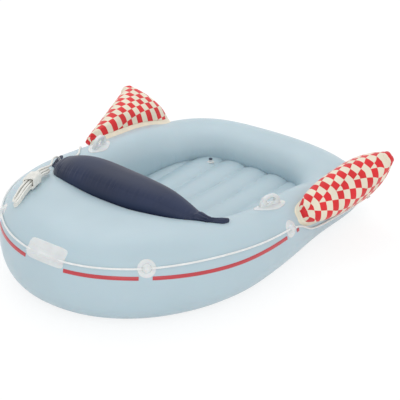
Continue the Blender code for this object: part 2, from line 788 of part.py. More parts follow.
def build_eyelets(hull, cutter):
    """Round welded patches with a raised boss that the grab line runs through."""
    tree, hull_cutter = hull
    outline = oval(EYELET_DIAMETER / 2, EYELET_DIAMETER / 2, EYELET_SIDES)
    boss_share = EYELET_BOSS_DIAMETER / EYELET_DIAMETER
    boss_height = tunnel_lift() + LINE_DIAMETER / 2 + TUNNEL_CLEARANCE + 2 * TUNNEL_WALL - SEAT_GAP
    shares = (1.0, boss_share, boss_share * 0.88, boss_share * 0.60, boss_share * 0.30)

    def thickness(share, k):
        rise = math.sqrt(max(1 - (share / boss_share) ** 3, 0.0))
        return EYELET_THICKNESS + (boss_height - EYELET_THICKNESS) * rise

    for name, t in eyelet_ts():
        bm = bmesh.new()
        draped_pad(bm, tree, side_frame(t, line_share(t)), outline, shares, thickness)
        eyelet = add_object(name, bm, "clear_white_vinyl")
        combine(eyelet, hull_cutter, "DIFFERENCE")
        combine(eyelet, cutter, "DIFFERENCE")


def build_nose_patch(hull, cutter):
    """Rounded patch at the bow that sleeves the grab line."""
    tree, hull_cutter = hull
    outline = oval(NOSE_PATCH_WIDTH / 2, NOSE_PATCH_LENGTH / 2, NOSE_PATCH_SIDES, 0.5)
    ridge_height = tunnel_lift() + LINE_DIAMETER / 2 + TUNNEL_CLEARANCE + TUNNEL_WALL - SEAT_GAP
    here, across, along, normal = side_frame(0.0, line_share(0.0))

    def thickness(share, k):
        x = outline[k][0] * share + NOSE_PATCH_RISE
        ridge = math.exp(-(x / (LINE_DIAMETER * 1.6)) ** 2)
        return NOSE_PATCH_THICKNESS + (ridge_height - NOSE_PATCH_THICKNESS) * ridge

    bm = bmesh.new()
    frame = (here + across * NOSE_PATCH_RISE, across, along, normal)
    draped_pad(bm, tree, frame, outline, (1.0, 0.84, 0.68, 0.52, 0.36, 0.18), thickness)
    patch = add_object("nose_patch", bm, "clear_white_vinyl")
    combine(patch, hull_cutter, "DIFFERENCE")
    combine(patch, cutter, "DIFFERENCE")


def stripe_breaks():
    """Stretches of the hull's round where a patch or the stern takes the stripe's place."""
    places = [(0.0, NOSE_PATCH_LENGTH / 2)]
    places += [(t, EYELET_DIAMETER / 2) for name, t in eyelet_ts() if not name.startswith("eyelet_stern")]
    breaks = []
    for t, half in places:
        breaks.append([walk(t, half + STRIPE_END_GAP, side, stripe_share) for side in (-1, 1)])
    breaks.append([STRIPE_AFT_T, PLAN_SPANS - STRIPE_AFT_T])
    return sorted(breaks)


def build_stripes(hull):
    """Red tape along the hull's side from fin to fin, broken where a patch crosses it."""
    tree, hull_cutter = hull
    breaks = stripe_breaks()
    total = len(breaks)
    for index in range(total):
        first = breaks[index][1]
        last = breaks[(index + 1) % total][0]
        if last < first:
            last += PLAN_SPANS
        inner_steps = range(math.ceil(first * STEPS_PER_SPAN + 0.2), math.floor(last * STEPS_PER_SPAN - 0.2) + 1)
        rings = []
        for t in [first] + [i / STEPS_PER_SPAN for i in inner_steps] + [last]:
            here, across, along, normal = side_frame(t, stripe_share(t))
            edges = []
            for side in (-1, 1):
                place = here + across * (side * STRIPE_WIDTH / 2)
                edges.append(tree.ray_cast(place + normal * BOW_HEIGHT, -normal)[0])
            out = normal * (SEAT_GAP + STRIPE_THICKNESS)
            under = normal * -UNDERLAP
            rings.append((edges[0] + under, edges[1] + under, edges[1] + out, edges[0] + out))
        bm = bmesh.new()
        loops = ring_loft(bm, rings)
        for loop in (loops[0], loops[-1]):
            bm.faces.new(loop)
        stripe = add_object("side_stripe_%d" % (index + 1), bm, "red_tape")
        combine(stripe, hull_cutter, "DIFFERENCE")


def rowlock_frame(side):
    """Middle and axes of an oar rest on the crest of a side tube, turned a little outboard going aft."""
    here, normal, along = hull_frame(ROWLOCK_T, math.pi / 2)
    turn = math.radians(ROWLOCK_TURN_DEGREES)
    outboard = along.cross(normal).normalized()
    if outboard.x < 0:
        outboard = -outboard
    along = (along * math.cos(turn) + outboard * math.sin(turn)).normalized()
    across = normal.cross(along).normalized()
    if side < 0:
        here, across, along, normal = (Vector((-v.x, v.y, v.z)) for v in (here, across, along, normal))
    return here, across, along, normal


def build_rowlock(hull, side, suffix):
    """Welded oar rest: a leaf-shaped foot with a standing lug that has a long eye."""
    tree, hull_cutter = hull
    middle, across, along, normal = rowlock_frame(side)
    outline = oval(ROWLOCK_WIDTH / 2, ROWLOCK_LENGTH / 2, ROWLOCK_SIDES, 1.25)
    bm = bmesh.new()
    draped_pad(bm, tree, (middle, across, along, normal), outline, (1.0, 0.66, 0.33),
               lambda share, k: ROWLOCK_THICKNESS * (1.6 - 0.6 * share))
    foot = add_object("rowlock_" + suffix, bm, "clear_white_vinyl")
    lug = bmesh.new()
    depth = ROWLOCK_LUG_DEPTH / 2
    round_in = depth * 2 * ROWLOCK_LUG_ROUND_SHARE
    profile = ((0.0, depth - round_in), (ROWLOCK_LUG_ROUND_SHARE, depth), (1 - ROWLOCK_LUG_ROUND_SHARE, depth),
               (1.0, depth - round_in), (1.0, round_in - depth), (1 - ROWLOCK_LUG_ROUND_SHARE, -depth),
               (ROWLOCK_LUG_ROUND_SHARE, -depth), (0.0, round_in - depth))
    rings = []
    for k in range(ROWLOCK_SIDES):
        angle = math.tau * (k + 0.5) / ROWLOCK_SIDES
        rise = math.sin(angle)
        outer = (along * (ROWLOCK_LUG_LENGTH / 2 * signed_power(math.cos(angle), 0.85))
                 + normal * (ROWLOCK_LUG_HEIGHT * rise ** 0.85 if rise > 0 else 3 * UNDERLAP * rise))
        inner = (along * (ROWLOCK_HOLE_LENGTH / 2 * math.cos(angle))
                 + normal * (ROWLOCK_HOLE_HEIGHT + ROWLOCK_HOLE_WIDTH / 2 * rise))
        rings.append([middle + inner.lerp(outer, share) + across * offset for share, offset in profile])
    ring_loft(lug, rings, closed=True)
    guide = add_object("rowlock_lug_guide_" + suffix, lug, "clear_white_vinyl")
    guide.hide_render = True
    guide.display_type = "WIRE"
    combine(foot, guide, "UNION")
    combine(foot, hull_cutter, "DIFFERENCE")
    print("rowlock", suffix, [round(c, 4) for c in middle + normal * ROWLOCK_HOLE_HEIGHT])


def fin_frame(side):
    """Foot middle, axes and length of a fin: along runs aft, normal up the fin, across out of its face."""
    power = stepped(SQUARE_STEP_SHARES, aft_share(FIN_FRONT_T))
    foot_angle = math.asin(signed_power(FIN_FOOT_SHARE, 1 / power))
    front = hull_point(FIN_FRONT_T, foot_angle)
    rear = hull_point(FIN_PORT_REAR_T if side > 0 else FIN_STARBOARD_REAR_T, foot_angle)
    along = (rear - front).normalized()
    lean = math.radians(FIN_PORT_LEAN_DEGREES if side > 0 else FIN_STARBOARD_LEAN_DEGREES)
    outward = Vector((along.y, -along.x, 0.0)).normalized()
    normal = outward * math.sin(lean) + Vector((0.0, 0.0, math.cos(lean)))
    normal = (normal - along * normal.dot(along)).normalized()
    across = along.cross(normal).normalized()
    middle = (front + rear) / 2
    if side < 0:
        middle, across, along, normal = (Vector((-v.x, v.y, v.z)) for v in (middle, across, along, normal))
    return (middle, across, along, normal), (rear - front).length


def fin_foot_outline(length):
    """Outline of the fin's foot, a little narrower at the front."""
    points = []
    for x, y in oval(FIN_FOOT_WIDTH / 2, length / 2, FIN_SIDES, FIN_FOOT_ROUND_SHARE):
        aft = y / length + 0.5
        points.append((x * (FIN_FRONT_WIDTH_SHARE + (1 - FIN_FRONT_WIDTH_SHARE) * aft), y))
    return points


def fin_width(rise):
    """Width of the fin at a share of its height: it swells above the foot and closes at the peak."""
    swell = FIN_SWELL_WIDTH - FIN_FOOT_WIDTH
    if rise < 0.35:
        return FIN_FOOT_WIDTH + swell * math.sin(math.pi / 2 * rise / 0.35)
    fall = (rise - 0.35) / 0.65
    return FIN_TIP_WIDTH + (FIN_SWELL_WIDTH - FIN_TIP_WIDTH) * (1 - fall * fall)


def build_fin(hull, side, suffix):
    """One chequered fin and the cream band that welds it to the hull."""
    tree, hull_cutter = hull
    frame, length = fin_frame(side)
    full_height = FIN_PORT_HEIGHT if side > 0 else FIN_STARBOARD_HEIGHT
    middle, across, along, normal = frame
    outline = fin_foot_outline(length)
    shares = (1.0, 0.7, 0.35)
    band = bmesh.new()
    draped_pad(band, tree, frame, outline, shares, lambda share, k: FIN_BAND_HEIGHT)
    bmesh.ops.triangulate(band, faces=band.faces)
    combine(add_object("fin_band_" + suffix, band, "cream_vinyl"), hull_cutter, "DIFFERENCE")
    lift = FIN_BAND_HEIGHT + SEAT_GAP + FIT_GAP

    def foot(x, y):
        start = middle + across * x + along * y + normal * (HULL_WIDTH / 4)
        return tree.ray_cast(start, -normal)[0] + normal * lift

    bm = bmesh.new()
    foot_rings = [[foot(x * s, y * s) for x, y in outline] for s in shares]
    peak_share = FIN_PORT_PEAK_SHARE if side > 0 else FIN_STARBOARD_PEAK_SHARE
    peak_y = (peak_share - 0.5) * length
    levels = [foot_rings[0]]
    for j in range(1, FIN_LEVELS + 1):
        rise = 1 - (1 - j / FIN_LEVELS) ** 1.3
        height = full_height * rise
        nose_share = FIN_NOSE_HEIGHT / full_height
        climb = max(rise - nose_share / 2, 0.0) / (1 - nose_share / 2)
        fore = -length / 2 + (peak_y - FIN_TIP_LENGTH / 2 + length / 2) * climb
        aft = length / 2 - (length / 2 - peak_y - FIN_TIP_LENGTH / 2) * rise
        ring = []
        for (x, y), start in zip(outline, foot_rings[0]):
            place_y = fore + (aft - fore) * (y / length + 0.5)
            place_x = x * fin_width(rise) / FIN_FOOT_WIDTH
            sag = (start - middle).dot(normal) * (1 - rise)
            ring.append(middle + across * place_x + along * place_y + normal * (height + sag))
        levels.append(ring)
    loops = ring_loft(bm, levels)
    cap_centre = sum((v.co for v in loops[-1]), Vector()) / len(loops[-1])
    fan_faces(bm, loops[-1], bm.verts.new(cap_centre + normal * (FIN_TIP_WIDTH / 4)))
    low = [loops[0]]
    for ring in foot_rings[1:]:
        low.append([bm.verts.new(p) for p in ring])
    for a, b in zip(low, low[1:]):
        band_faces(bm, a, b)
    fan_faces(bm, low[-1], bm.verts.new(foot(0.0, 0.0)))
    fin = carrier("fin_" + suffix, bm)
    add_object("fin_" + suffix, bm, "check_vinyl")
    return fin, frame, length, full_height


def valve_axes(normal):
    """Two axes square to a valve's axis and to each other."""
    across = normal.cross(Vector((0.0, 1.0, 0.3))).normalized()
    return across, across.cross(normal).normalized()


def build_valve(name, body, place, normal):
    """Stem valve on a soft skin: a welded flange and stem, and the plug pressed into its bore."""
    tree, cutter = body
    across, along = valve_axes(normal)
    flange = VALVE_FLANGE_DIAMETER / 2
    stem = VALVE_STEM_DIAMETER / 2
    bore = VALVE_BORE_DIAMETER / 2
    outline = oval(flange, flange, VALVE_SIDES)
    shares = tuple(radius / flange for radius in
                   (flange, stem + VALVE_DRAFT, stem, bore + VALVE_DRAFT, bore))
    heights = (VALVE_FLANGE_THICKNESS, VALVE_FLANGE_THICKNESS, VALVE_STEM_HEIGHT, VALVE_STEM_HEIGHT,
               VALVE_STEM_HEIGHT - VALVE_BORE_DEPTH)
    seat = tree.ray_cast(place + normal * (HULL_WIDTH / 4), -normal)[0]

    def thickness(share, k):
        if share < shares[-1]:
            return heights[-1]
        height = heights[min(range(len(shares)), key=lambda i: abs(shares[i] - share))]
        if height <= VALVE_FLANGE_THICKNESS and share > shares[2]:
            return height
        x, y = outline[k]
        start = seat + across * (x * share) + along * (y * share) + normal * (HULL_WIDTH / 4)
        local = (tree.ray_cast(start, -normal)[0] - seat).dot(normal)
        return height - local

    bm = bmesh.new()
    draped_pad(bm, tree, (seat, across, along, normal), outline, shares, thickness)
    combine(add_object("valve_" + name, bm, "valve_plastic"), cutter, "DIFFERENCE")
    base = seat + normal * (SEAT_GAP + VALVE_STEM_HEIGHT + FIT_GAP)
    pin = bore - FIT_GAP
    head = PLUG_HEAD_DIAMETER / 2
    profile = ((pin * 0.8, -PLUG_PIN_LENGTH), (pin, -PLUG_PIN_LENGTH * 0.85), (pin, 0.0), (head, 0.0),
               (head, PLUG_HEAD_HEIGHT * 0.6), (head * 0.85, PLUG_HEAD_HEIGHT))
    plug = bmesh.new()
    rings = []
    for radius, height in profile:
        ring = []
        for k in range(VALVE_SIDES):
            angle = math.tau * k / VALVE_SIDES
            radial = across * math.cos(angle) + along * math.sin(angle)
            ring.append(base + radial * radius + normal * height)
        rings.append(ring)
    loops = ring_loft(plug, rings)
    for loop in (loops[0], loops[-1]):
        plug.faces.new(loop)
    bmesh.ops.triangulate(plug, faces=[f for f in plug.faces if len(f.verts) > 4])
    add_object("plug_" + name, plug, "valve_plastic", origin=base)
    print("valve", name, [round(c, 4) for c in base], [round(c, 4) for c in normal])


def build_valves(hull, floor, bolster, fins):
    """A valve for each air chamber, on the sides that nobody leans on."""
    here, normal, along = hull_frame(HULL_VALVE_T, math.pi - math.asin(HULL_VALVE_SHARE))
    build_valve("hull", hull, here, normal)
    corner = Vector((-COCKPIT_WIDTH * FLOOR_VALVE_SIDE_SHARE, COCKPIT_AFT_Y - FLOOR_VALVE_INSET, FLOOR_THICKNESS))
    build_valve("floor", floor, corner, Vector((0.0, 0.0, 1.0)))
    centre, depth, height = bolster_section(BOLSTER_VALVE_SHARE, hull[0])
    build_valve("bolster", bolster, centre, Vector((0.0, 1.0, 0.0)))
    for (fin, frame, length, full_height), suffix in zip(fins, ("port", "starboard")):
        middle, across, along, normal = frame
        outward = across if across.dot(Vector((middle.x, 0.0, 0.0))) > 0 else -across
        place = middle + along * (length * FIN_VALVE_SHARE) + normal * (full_height * FIN_VALVE_SHARE)
        build_valve("fin_" + suffix, fin, place, outward)


def rest_height(trees, x, y, radius):
    """Height of the centre of a tube that rests on the highest skin at a place."""
    heights = []
    reach = radius * math.sqrt(0.5)
    for dx, dy in ((0.0, 0.0), (reach, 0.0), (-reach, 0.0), (0.0, reach), (0.0, -reach)):
        rise = math.sqrt(radius ** 2 - dx * dx - dy * dy)
        for tree in trees:
            height = skin_height(tree, Vector((x + dx, y + dy, 0.0)))
            if height is not None:
                heights.append(height + rise)
    return max(heights)


def hank_axes():
    """Fore end, axis, sideways direction and length of the hank, in plan."""
    fore = Vector((HANK_FORE_SHARES[0] * HULL_WIDTH, HANK_FORE_SHARES[1] * HULL_LENGTH, 0.0))
    aft = Vector((HANK_AFT_SHARES[0] * HULL_WIDTH, HANK_AFT_SHARES[1] * HULL_LENGTH, 0.0))
    axis = (aft - fore).normalized()
    return fore, axis, Vector((-axis.y, axis.x, 0.0)), (aft - fore).length


def hank_lift(place, length):
    """How far the hank's underside stands off the deck: lifted at the middle by the wrap under it."""
    wrapped = WRAP_TURNS * WRAP_PITCH / 2
    off = abs(place - length / 2)
    return TOW_LIE_GAP + (TOW_DIAMETER + 2 * WRAP_GAP) * (1 - smooth_step(wrapped, length / 2, off))


def waist(place, length):
    """Share of the hank's width at a place along it, drawn in under the wrap."""
    wrapped = WRAP_TURNS * WRAP_PITCH / 2
    off = abs(place - length / 2)
    return HANK_WAIST_SHARE + (1 - HANK_WAIST_SHARE) * smooth_step(wrapped, length / 2 * 0.8, off)


def hank_points(trees):
    """Centre line of the hank's loops, piled one on another and shifted by turns to either side."""
    fore, axis, sideways, length = hank_axes()
    half_run = (length - TOW_DIAMETER) / 2
    half_fold = HANK_FOLD_DIAMETER / 2
    shift = (HANK_WIDTH - TOW_DIAMETER) / 2 - half_fold
    last_place = -(WRAP_TURNS * WRAP_PITCH / 2 + 2 * TOW_DIAMETER) / half_run
    last_turn = HANK_LOOPS - 1 + (math.tau - math.acos(-last_place ** 2)) / math.tau - HANK_START_SHARE
    count = math.ceil(last_turn * HANK_LOOP_POINTS)
    points = []
    for i in range(count + 1):
        turn = last_turn * i / count
        angle = math.tau * (turn + HANK_START_SHARE)
        place = length / 2 + half_run * signed_power(math.cos(angle), 0.5)
        whole = math.floor(turn)
        climb = smooth_step(0.02, 0.30, turn - whole)
        side = (2 * climb - 1) * (1 if whole % 2 else -1)
        width = (half_fold * signed_power(math.sin(angle), 0.75) - shift * side) * waist(place, length)
        point = fore + axis * place + sideways * width
        level = HANK_LOOPS - whole - climb
        rest = rest_height(trees, point.x, point.y, TOW_DIAMETER / 2)
        point.z = rest + hank_lift(place, length) + HANK_STEP * level
        points.append(point)
    return points


def wrap_points(trees, loops):
    """Centre line of the turns wound round the hank's waist, from the end of its last run."""
    fore, axis, sideways, length = hank_axes()
    stack = HANK_STEP * HANK_LOOPS / 2
    half_across = (HANK_WIDTH - TOW_DIAMETER) / 2 * HANK_WAIST_SHARE + TOW_DIAMETER + WRAP_GAP
    half_up = stack + TOW_DIAMETER + WRAP_GAP
    turns = []
    for i in range(round(WRAP_TURNS * WRAP_TURN_POINTS) + 1):
        turn = i / WRAP_TURN_POINTS
        angle = math.tau * turn + math.radians(WRAP_START_DEGREES)
        place = length / 2 + WRAP_PITCH * (turn - WRAP_TURNS / 2)
        across = half_across * signed_power(math.cos(angle), WRAP_SQUARE_SHARE)
        point = fore + axis * place + sideways * across
        rest = rest_height(trees, point.x, point.y, TOW_DIAMETER / 2)
        point.z = rest + hank_lift(length / 2, length) + stack
        point.z += half_up * signed_power(math.sin(angle), WRAP_SQUARE_SHARE)
        turns.append(point)
    direction = (loops[-1] - loops[-2]).normalized()
    start = loops[-1] + direction * FIT_GAP
    knots = [start, start + direction * TOW_DIAMETER, turns[0], turns[1]]
    return smooth_route(knots, 10)[:6] + turns


def smooth_route(knots, count):
    """Evenly shared points on a smooth curve through knots."""
    padded = [2 * knots[0] - knots[1]] + knots + [2 * knots[-1] - knots[-2]]
    spans = len(knots) - 1
    points = []
    for i in range(count):
        place = spans * i / (count - 1)
        k = min(int(place), spans - 1)
        s = place - k
        a, b, c, d = padded[k:k + 4]
        points.append(((2 * b) + (c - a) * s + (2 * a - 5 * b + 4 * c - d) * s * s
                       + (3 * b - 3 * c + d - a) * s * s * s) / 2)
    return points


def lead_points(trees, start, beyond):
    """Centre line from the hank's free end over the bolster's tail to the quarter eyelet."""
    direction = (start - beyond).normalized()
    knots = [start + direction * FIT_GAP, start + direction * (6 * TOW_DIAMETER)]
    for x, y in LEAD_ROUTE:
        knots.append(Vector((x, y, rest_height(trees, x, y, TOW_DIAMETER / 2) + LIE_GAP)))
    t = PLAN_SPANS - EYELET_PLACES[1][1]
    here, across, along, normal = side_frame(t, line_share(t))
    reach = EYELET_BOSS_DIAMETER / 2 + FIT_GAP
    lift = normal * (tunnel_lift() + LIE_GAP)
    knots.append(here + across * (reach + 2 * TOW_DIAMETER) + lift)
    knots.append(here + across * reach + lift)
    points = smooth_route(knots, LEAD_POINTS)
    for point in points[1:-4]:
        point.z = max(point.z, rest_height(trees, point.x, point.y, TOW_DIAMETER / 2) + LEAD_LIE_GAP)
    return points


def least_gap(points, diameter):
    """Least gap of a tube to itself, leaving out neighbours within four diameters along it."""
    run_lengths = [0.0]
    for a, b in zip(points, points[1:]):
        run_lengths.append(run_lengths[-1] + (b - a).length)
    least = math.inf
    for i, here in enumerate(points):
        for j in range(i + 1, len(points) - 1):
            if run_lengths[j] - run_lengths[i] < 4 * diameter:
                continue
            a, b = points[j], points[j + 1]
            run = b - a
            share = min(max((here - a).dot(run) / run.length_squared, 0.0), 1.0)
            least = min(least, (here - a - run * share).length)
    return least - diameter


def build_tow_line(hull, bolster):
    """The tow line: its hank, the turns round the waist and the lead to the eyelet."""
    trees = (hull[0], bolster[0])
    loops = hank_points(trees)
    turns = wrap_points(trees, loops)
    lead = lead_points(trees, loops[0], loops[1])
    radius = TOW_DIAMETER / 2
    tube_curve("tow_line_hank", loops, radius, "cream_rope", resolution=1)
    tube_curve("tow_line_wrap", turns, radius, "cream_rope", resolution=1)
    tube_curve("tow_line_lead", lead, radius, "cream_rope")
    print("least gap in the hank %.5f, in the wrap %.5f"
          % (least_gap(loops, TOW_DIAMETER), least_gap(turns, TOW_DIAMETER)))


def main():
    """Builds every piece in order."""
    clear_scene()
    hull = build_hull()
    tree, hull_cutter = hull
    build_bottom_sheet()
    floor = build_floor(hull_cutter)
    bolster = build_bolster(hull)
    build_bolster_flange(hull)
    points = line_points(tree)
    cutter = line_cutter(points)
    build_eyelets(hull, cutter)
    build_nose_patch(hull, cutter)
    tube_curve("grab_line", points, LINE_DIAMETER / 2, "white_cord", cyclic=True)
    fins = []
    for side, suffix in ((1, "port"), (-1, "starboard")):
        fins.append(build_fin(hull, side, suffix))
        build_rowlock(hull, side, suffix)
    build_stripes(hull)
    build_valves(hull, floor, bolster, fins)
    build_tow_line(hull, bolster)


main()
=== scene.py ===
import json
import math
from functools import lru_cache

import bmesh
import bpy
from mathutils import Matrix, Vector, noise
from mathutils.bvhtree import BVHTree


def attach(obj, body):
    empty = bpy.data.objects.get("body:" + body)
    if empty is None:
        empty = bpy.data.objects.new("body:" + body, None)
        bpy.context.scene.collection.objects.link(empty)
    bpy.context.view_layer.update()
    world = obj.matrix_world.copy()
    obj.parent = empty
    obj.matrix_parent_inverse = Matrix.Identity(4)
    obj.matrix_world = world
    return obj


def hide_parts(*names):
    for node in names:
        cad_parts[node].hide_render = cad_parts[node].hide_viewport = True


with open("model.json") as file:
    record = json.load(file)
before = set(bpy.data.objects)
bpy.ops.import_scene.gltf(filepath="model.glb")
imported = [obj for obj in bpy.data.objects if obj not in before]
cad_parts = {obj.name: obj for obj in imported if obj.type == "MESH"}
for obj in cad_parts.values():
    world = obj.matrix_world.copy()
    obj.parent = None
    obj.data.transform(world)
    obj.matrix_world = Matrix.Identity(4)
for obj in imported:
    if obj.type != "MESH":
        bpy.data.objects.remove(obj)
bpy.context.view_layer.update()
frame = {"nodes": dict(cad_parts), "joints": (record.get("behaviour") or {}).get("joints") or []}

bl_info = {
    "name": "Pool Float Looks",
    "version": (1, 0, 0),
    "blender": (4, 5, 0),
    "location": "View3D > Sidebar > Float",
    "description": "Dresses an inflatable pool float: vinyl skins, checks, patches, cords and studio",
    "category": "Object",
}

ROOT = "float"

# Hull, repeated from the frame's source in metres
HULL_LENGTH = 1.70
HULL_WIDTH = 1.15
COCKPIT_LENGTH = 0.95
COCKPIT_WIDTH = 0.67
COCKPIT_AFT_Y = 0.58497
BOW_HEIGHT = 0.345
SIDE_HEIGHT = 0.25
STERN_HEIGHT = 0.19
GROUND_FLAT = 0.006
HULL_PLAN_SHARES = ((0.0, -0.522), (0.31, -0.455), (0.538, -0.205), (0.470, 0.150),
                    (0.481, 0.335), (0.460, 0.382), (0.341, 0.481), (0.0, 0.508))
COCKPIT_PLAN_SHARES = ((0.0, -1.02), (0.30, -1.01), (0.52, -0.86), (0.505, -0.46),
                       (0.50, -0.24), (0.45, -0.10), (0.33, 0.005), (0.0, 0.005))
PLAN_SPANS = 14
CREST_STEP_SHARES = (0.60, 0.56, 0.50, 0.50, 0.50)
SQUARE_STEP_SHARES = (0.74, 0.80, 0.96, 1.0, 1.0)
LOWER_ROUND = 0.160
SEAT_GAP = 0.0005

# Floor
FLOOR_THICKNESS = 0.075
FLOOR_BASE = 0.002
FLOOR_CHANNEL_PITCH = 0.118
FLOOR_CHANNEL_DEPTH = 0.016
FLOOR_TUCK = 0.004

# Bolster
BOLSTER_X = -0.020
BOLSTER_Y = -0.33498
BOLSTER_Z = 0.325
BOLSTER_LENGTH = 0.80
BOLSTER_DEPTH = 0.215
BOLSTER_HEIGHT = 0.170
BOLSTER_SWEEP = 0.030
BOLSTER_TAIL_LENGTH = 0.055
BOLSTER_TAIL_AFT_SHARES = (1.7, 0.85)
BOLSTER_REST_SHARES = (0.10, 0.35)
BOLSTER_TAIL_DIAMETER = 0.034
BOLSTER_TAIL_FLAT_SHARE = 0.6
BOLSTER_FULLNESS_SHARES = ((0.0, 0.12), (0.03, 0.20), (0.065, 0.50), (0.11, 0.77), (0.21, 0.94), (0.36, 1.0),
                           (0.50, 0.95), (0.62, 0.87), (0.75, 0.73), (0.87, 0.50), (0.95, 0.28), (1.0, 0.16))
BOLSTER_PADDLE_SHARE = 1.3
BOLSTER_SEAM_DEGREES = (141.0, 321.0)

# Fins
FIN_FRONT_T = 2.77
FIN_REAR_TS = {"port": 4.72, "starboard": 4.52}
FIN_FOOT_SHARE = 0.64
FIN_LEAN_DEGREES = {"port": 43.0, "starboard": 51.0}
FIN_HEIGHTS = {"port": 0.244, "starboard": 0.220}
FIN_PEAK_SHARES = {"port": 0.86, "starboard": 0.785}
FIN_FOOT_WIDTH = 0.125
FIN_FRONT_WIDTH_SHARE = 0.86
FIN_FOOT_ROUND_SHARE = 0.62
FIN_BAND_HEIGHT = 0.022
FIN_NOSE_HEIGHT = 0.060
FIN_TIP_LENGTH = 0.052
FIN_TIP_WIDTH = 0.058
FIN_SWELL_WIDTH = 0.188
FIN_SWELL_SHARE = 0.27

# Grab line, patches, stripe
LINE_DIAMETER = 0.008
LINE_HEIGHT_SHARES = ((0.0, 0.50), (0.14, 0.52), (0.264, 0.61), (0.345, 0.54), (0.377, 0.48), (0.395, 0.36),
                      (0.42, 0.03), (0.47, -0.17), (0.56, -0.22), (0.66, -0.08), (0.84, 0.30), (1.0, 0.30))
TUNNEL_LIFT = 0.0065
EYELET_DIAMETER = 0.072
EYELET_THICKNESS = 0.0020
EYELET_BOSS_DIAMETER = 0.038
EYELET_BOSS_HEIGHT = 0.0145
EYELET_PLACES = (("eyelet_bow", 1.11), ("eyelet_quarter", 2.62), ("eyelet_stern", 5.90))
NOSE_PATCH_LENGTH = 0.185
NOSE_PATCH_WIDTH = 0.079
NOSE_PATCH_RISE = 0.011
STRIPE_WIDTH = 0.015
STRIPE_THICKNESS = 0.0008
STRIPE_HEIGHT_SHARE = 0.325
STRIPE_END_GAP = 0.003
STRIPE_AFT_T = 2.73

# Rowlocks
ROWLOCK_T = 2.653
ROWLOCK_TURN_DEGREES = 14.0
ROWLOCK_LENGTH = 0.172
ROWLOCK_WIDTH = 0.076
ROWLOCK_LUG_LENGTH = 0.112
ROWLOCK_LUG_HEIGHT = 0.050
ROWLOCK_LUG_DEPTH = 0.020
ROWLOCK_LUG_ROOT = 0.012
ROWLOCK_HOLE_LENGTH = 0.046
ROWLOCK_HOLE_WIDTH = 0.026
ROWLOCK_HOLE_HEIGHT = 0.024

# Valves
VALVE_STEM_DIAMETER = 0.016
VALVE_STEM_HEIGHT = 0.012
VALVE_FLANGE_DIAMETER = 0.034
VALVE_BORE_DIAMETER = 0.009
VALVE_BORE_DEPTH = 0.0095
PLUG_HEAD_DIAMETER = 0.018
PLUG_HEAD_HEIGHT = 0.0035
PLUG_PIN_LENGTH = 0.008

# Tow line
TOW_DIAMETER = 0.007
ROPE_DIAMETER = 0.0086
HANK_FORE = (-0.28095, -0.69003)
HANK_AFT = (-0.35696, -0.40494)
HANK_WIDTH = 0.042
HANK_FOLD_DIAMETER = 0.0225
HANK_LOOPS = 4
HANK_SIDES = (1.0, -1.0, 0.2, -0.2, 0.0)
HANK_LOOP_POINTS = 24
HANK_STEP = 0.0086
HANK_WAIST_SHARE = 0.84
HANK_START_SHARE = 0.125
WRAP_TURNS = 8.5
WRAP_TURN_POINTS = 16
WRAP_START_DEGREES = 198.0
WRAP_PITCH = 0.0077
WRAP_GAP = 0.0008
WRAP_SQUARE_SHARE = 0.36
LEAD_ROUTE = ((-0.392, -0.335), (-0.410, -0.275), (-0.418, -0.205), (-0.440, -0.130), (-0.490, -0.060))
LEAD_LIE_GAP = 0.0030
TOW_LIE_GAP = 0.0018
LIE_GAP = 0.0009
FIT_GAP = 0.0004

# Relief of the skins
WELD_DEPTH = 0.0011
WELD_LIP = 0.0004
WAVES_PER_METRE = 5.0
HULL_WAVE_SEED = 3.0

# Camera, from the photograph's view
CAMERA_PLACE = Vector((3.186, -4.225, 2.909))
CAMERA_RIGHT = Vector((0.8042, 0.5942, 0.0155))
CAMERA_UP = Vector((-0.2856, 0.3634, 0.8868))
CAMERA_BACK = Vector((0.5213, -0.7175, 0.4619))
CAMERA_LENS = 126.8
CAMERA_SENSOR = 36.0

# Studio
STAGE_SIZE = 32.0
STAGE_DROP = 0.0008
FLOOR_LIT = (0.92, 0.92, 0.92)
FLOOR_FAINT = (0.26, 0.26, 0.26)
FLOOR_GLOW = 0.79
SKY_COLOUR = (0.97, 0.985, 1.0)
SKY_STRENGTH = 0.84
LAMP_AIM = Vector((0.0, 0.0, 0.15))


# Properties that a user may change

def colour_setting(name, description, default):
    """Colour that a user may change."""
    return bpy.props.FloatVectorProperty(name=name, description=description, subtype="COLOR", size=3,
                                         min=0.0, max=1.0, default=default)


def size_setting(name, description, default, low, high):
    """Length that a user may change."""
    return bpy.props.FloatProperty(name=name, description=description, unit="LENGTH", default=default,
                                   min=low, max=high)


class FloatColours(bpy.types.PropertyGroup):
    """Colours of the float's skins and trim."""
    vinyl: colour_setting("Vinyl", "Hull and floor skin", (0.487, 0.612, 0.668))
    navy: colour_setting("Bolster", "Bolster skin", (0.020, 0.030, 0.070))
    red: colour_setting("Check red", "Dark squares of the fins", (0.76, 0.026, 0.032))
    cream: colour_setting("Check cream", "Pale squares and fin bands", (0.86, 0.78, 0.62))
    tape: colour_setting("Stripe", "Tape along the side", (0.56, 0.040, 0.055))
    trim: colour_setting("Trim", "Milky patches, rowlocks and valves", (0.74, 0.765, 0.765))
    line: colour_setting("Grab line", "Cord round the hull", (0.93, 0.935, 0.92))
    rope: colour_setting("Tow line", "Rope made up in a hank", (0.93, 0.915, 0.855))


class FloatSizes(bpy.types.PropertyGroup):
    """Sizes of the float's print, welds and puckers."""
    check: size_setting("Check", "Side of a square on the fins", 0.032, 0.005, 0.2)
    weld: size_setting("Weld", "Width of a weld line", 0.006, 0.001, 0.02)
    pucker: size_setting("Pucker", "Height of the folds beside a seam", 0.0022, 0.0, 0.01)
    wave: size_setting("Wave", "Height of the soft waves in the skin", 0.0012, 0.0, 0.01)


def colours():
    """The float's colours, as set in the scene."""
    return bpy.context.scene.float_colours


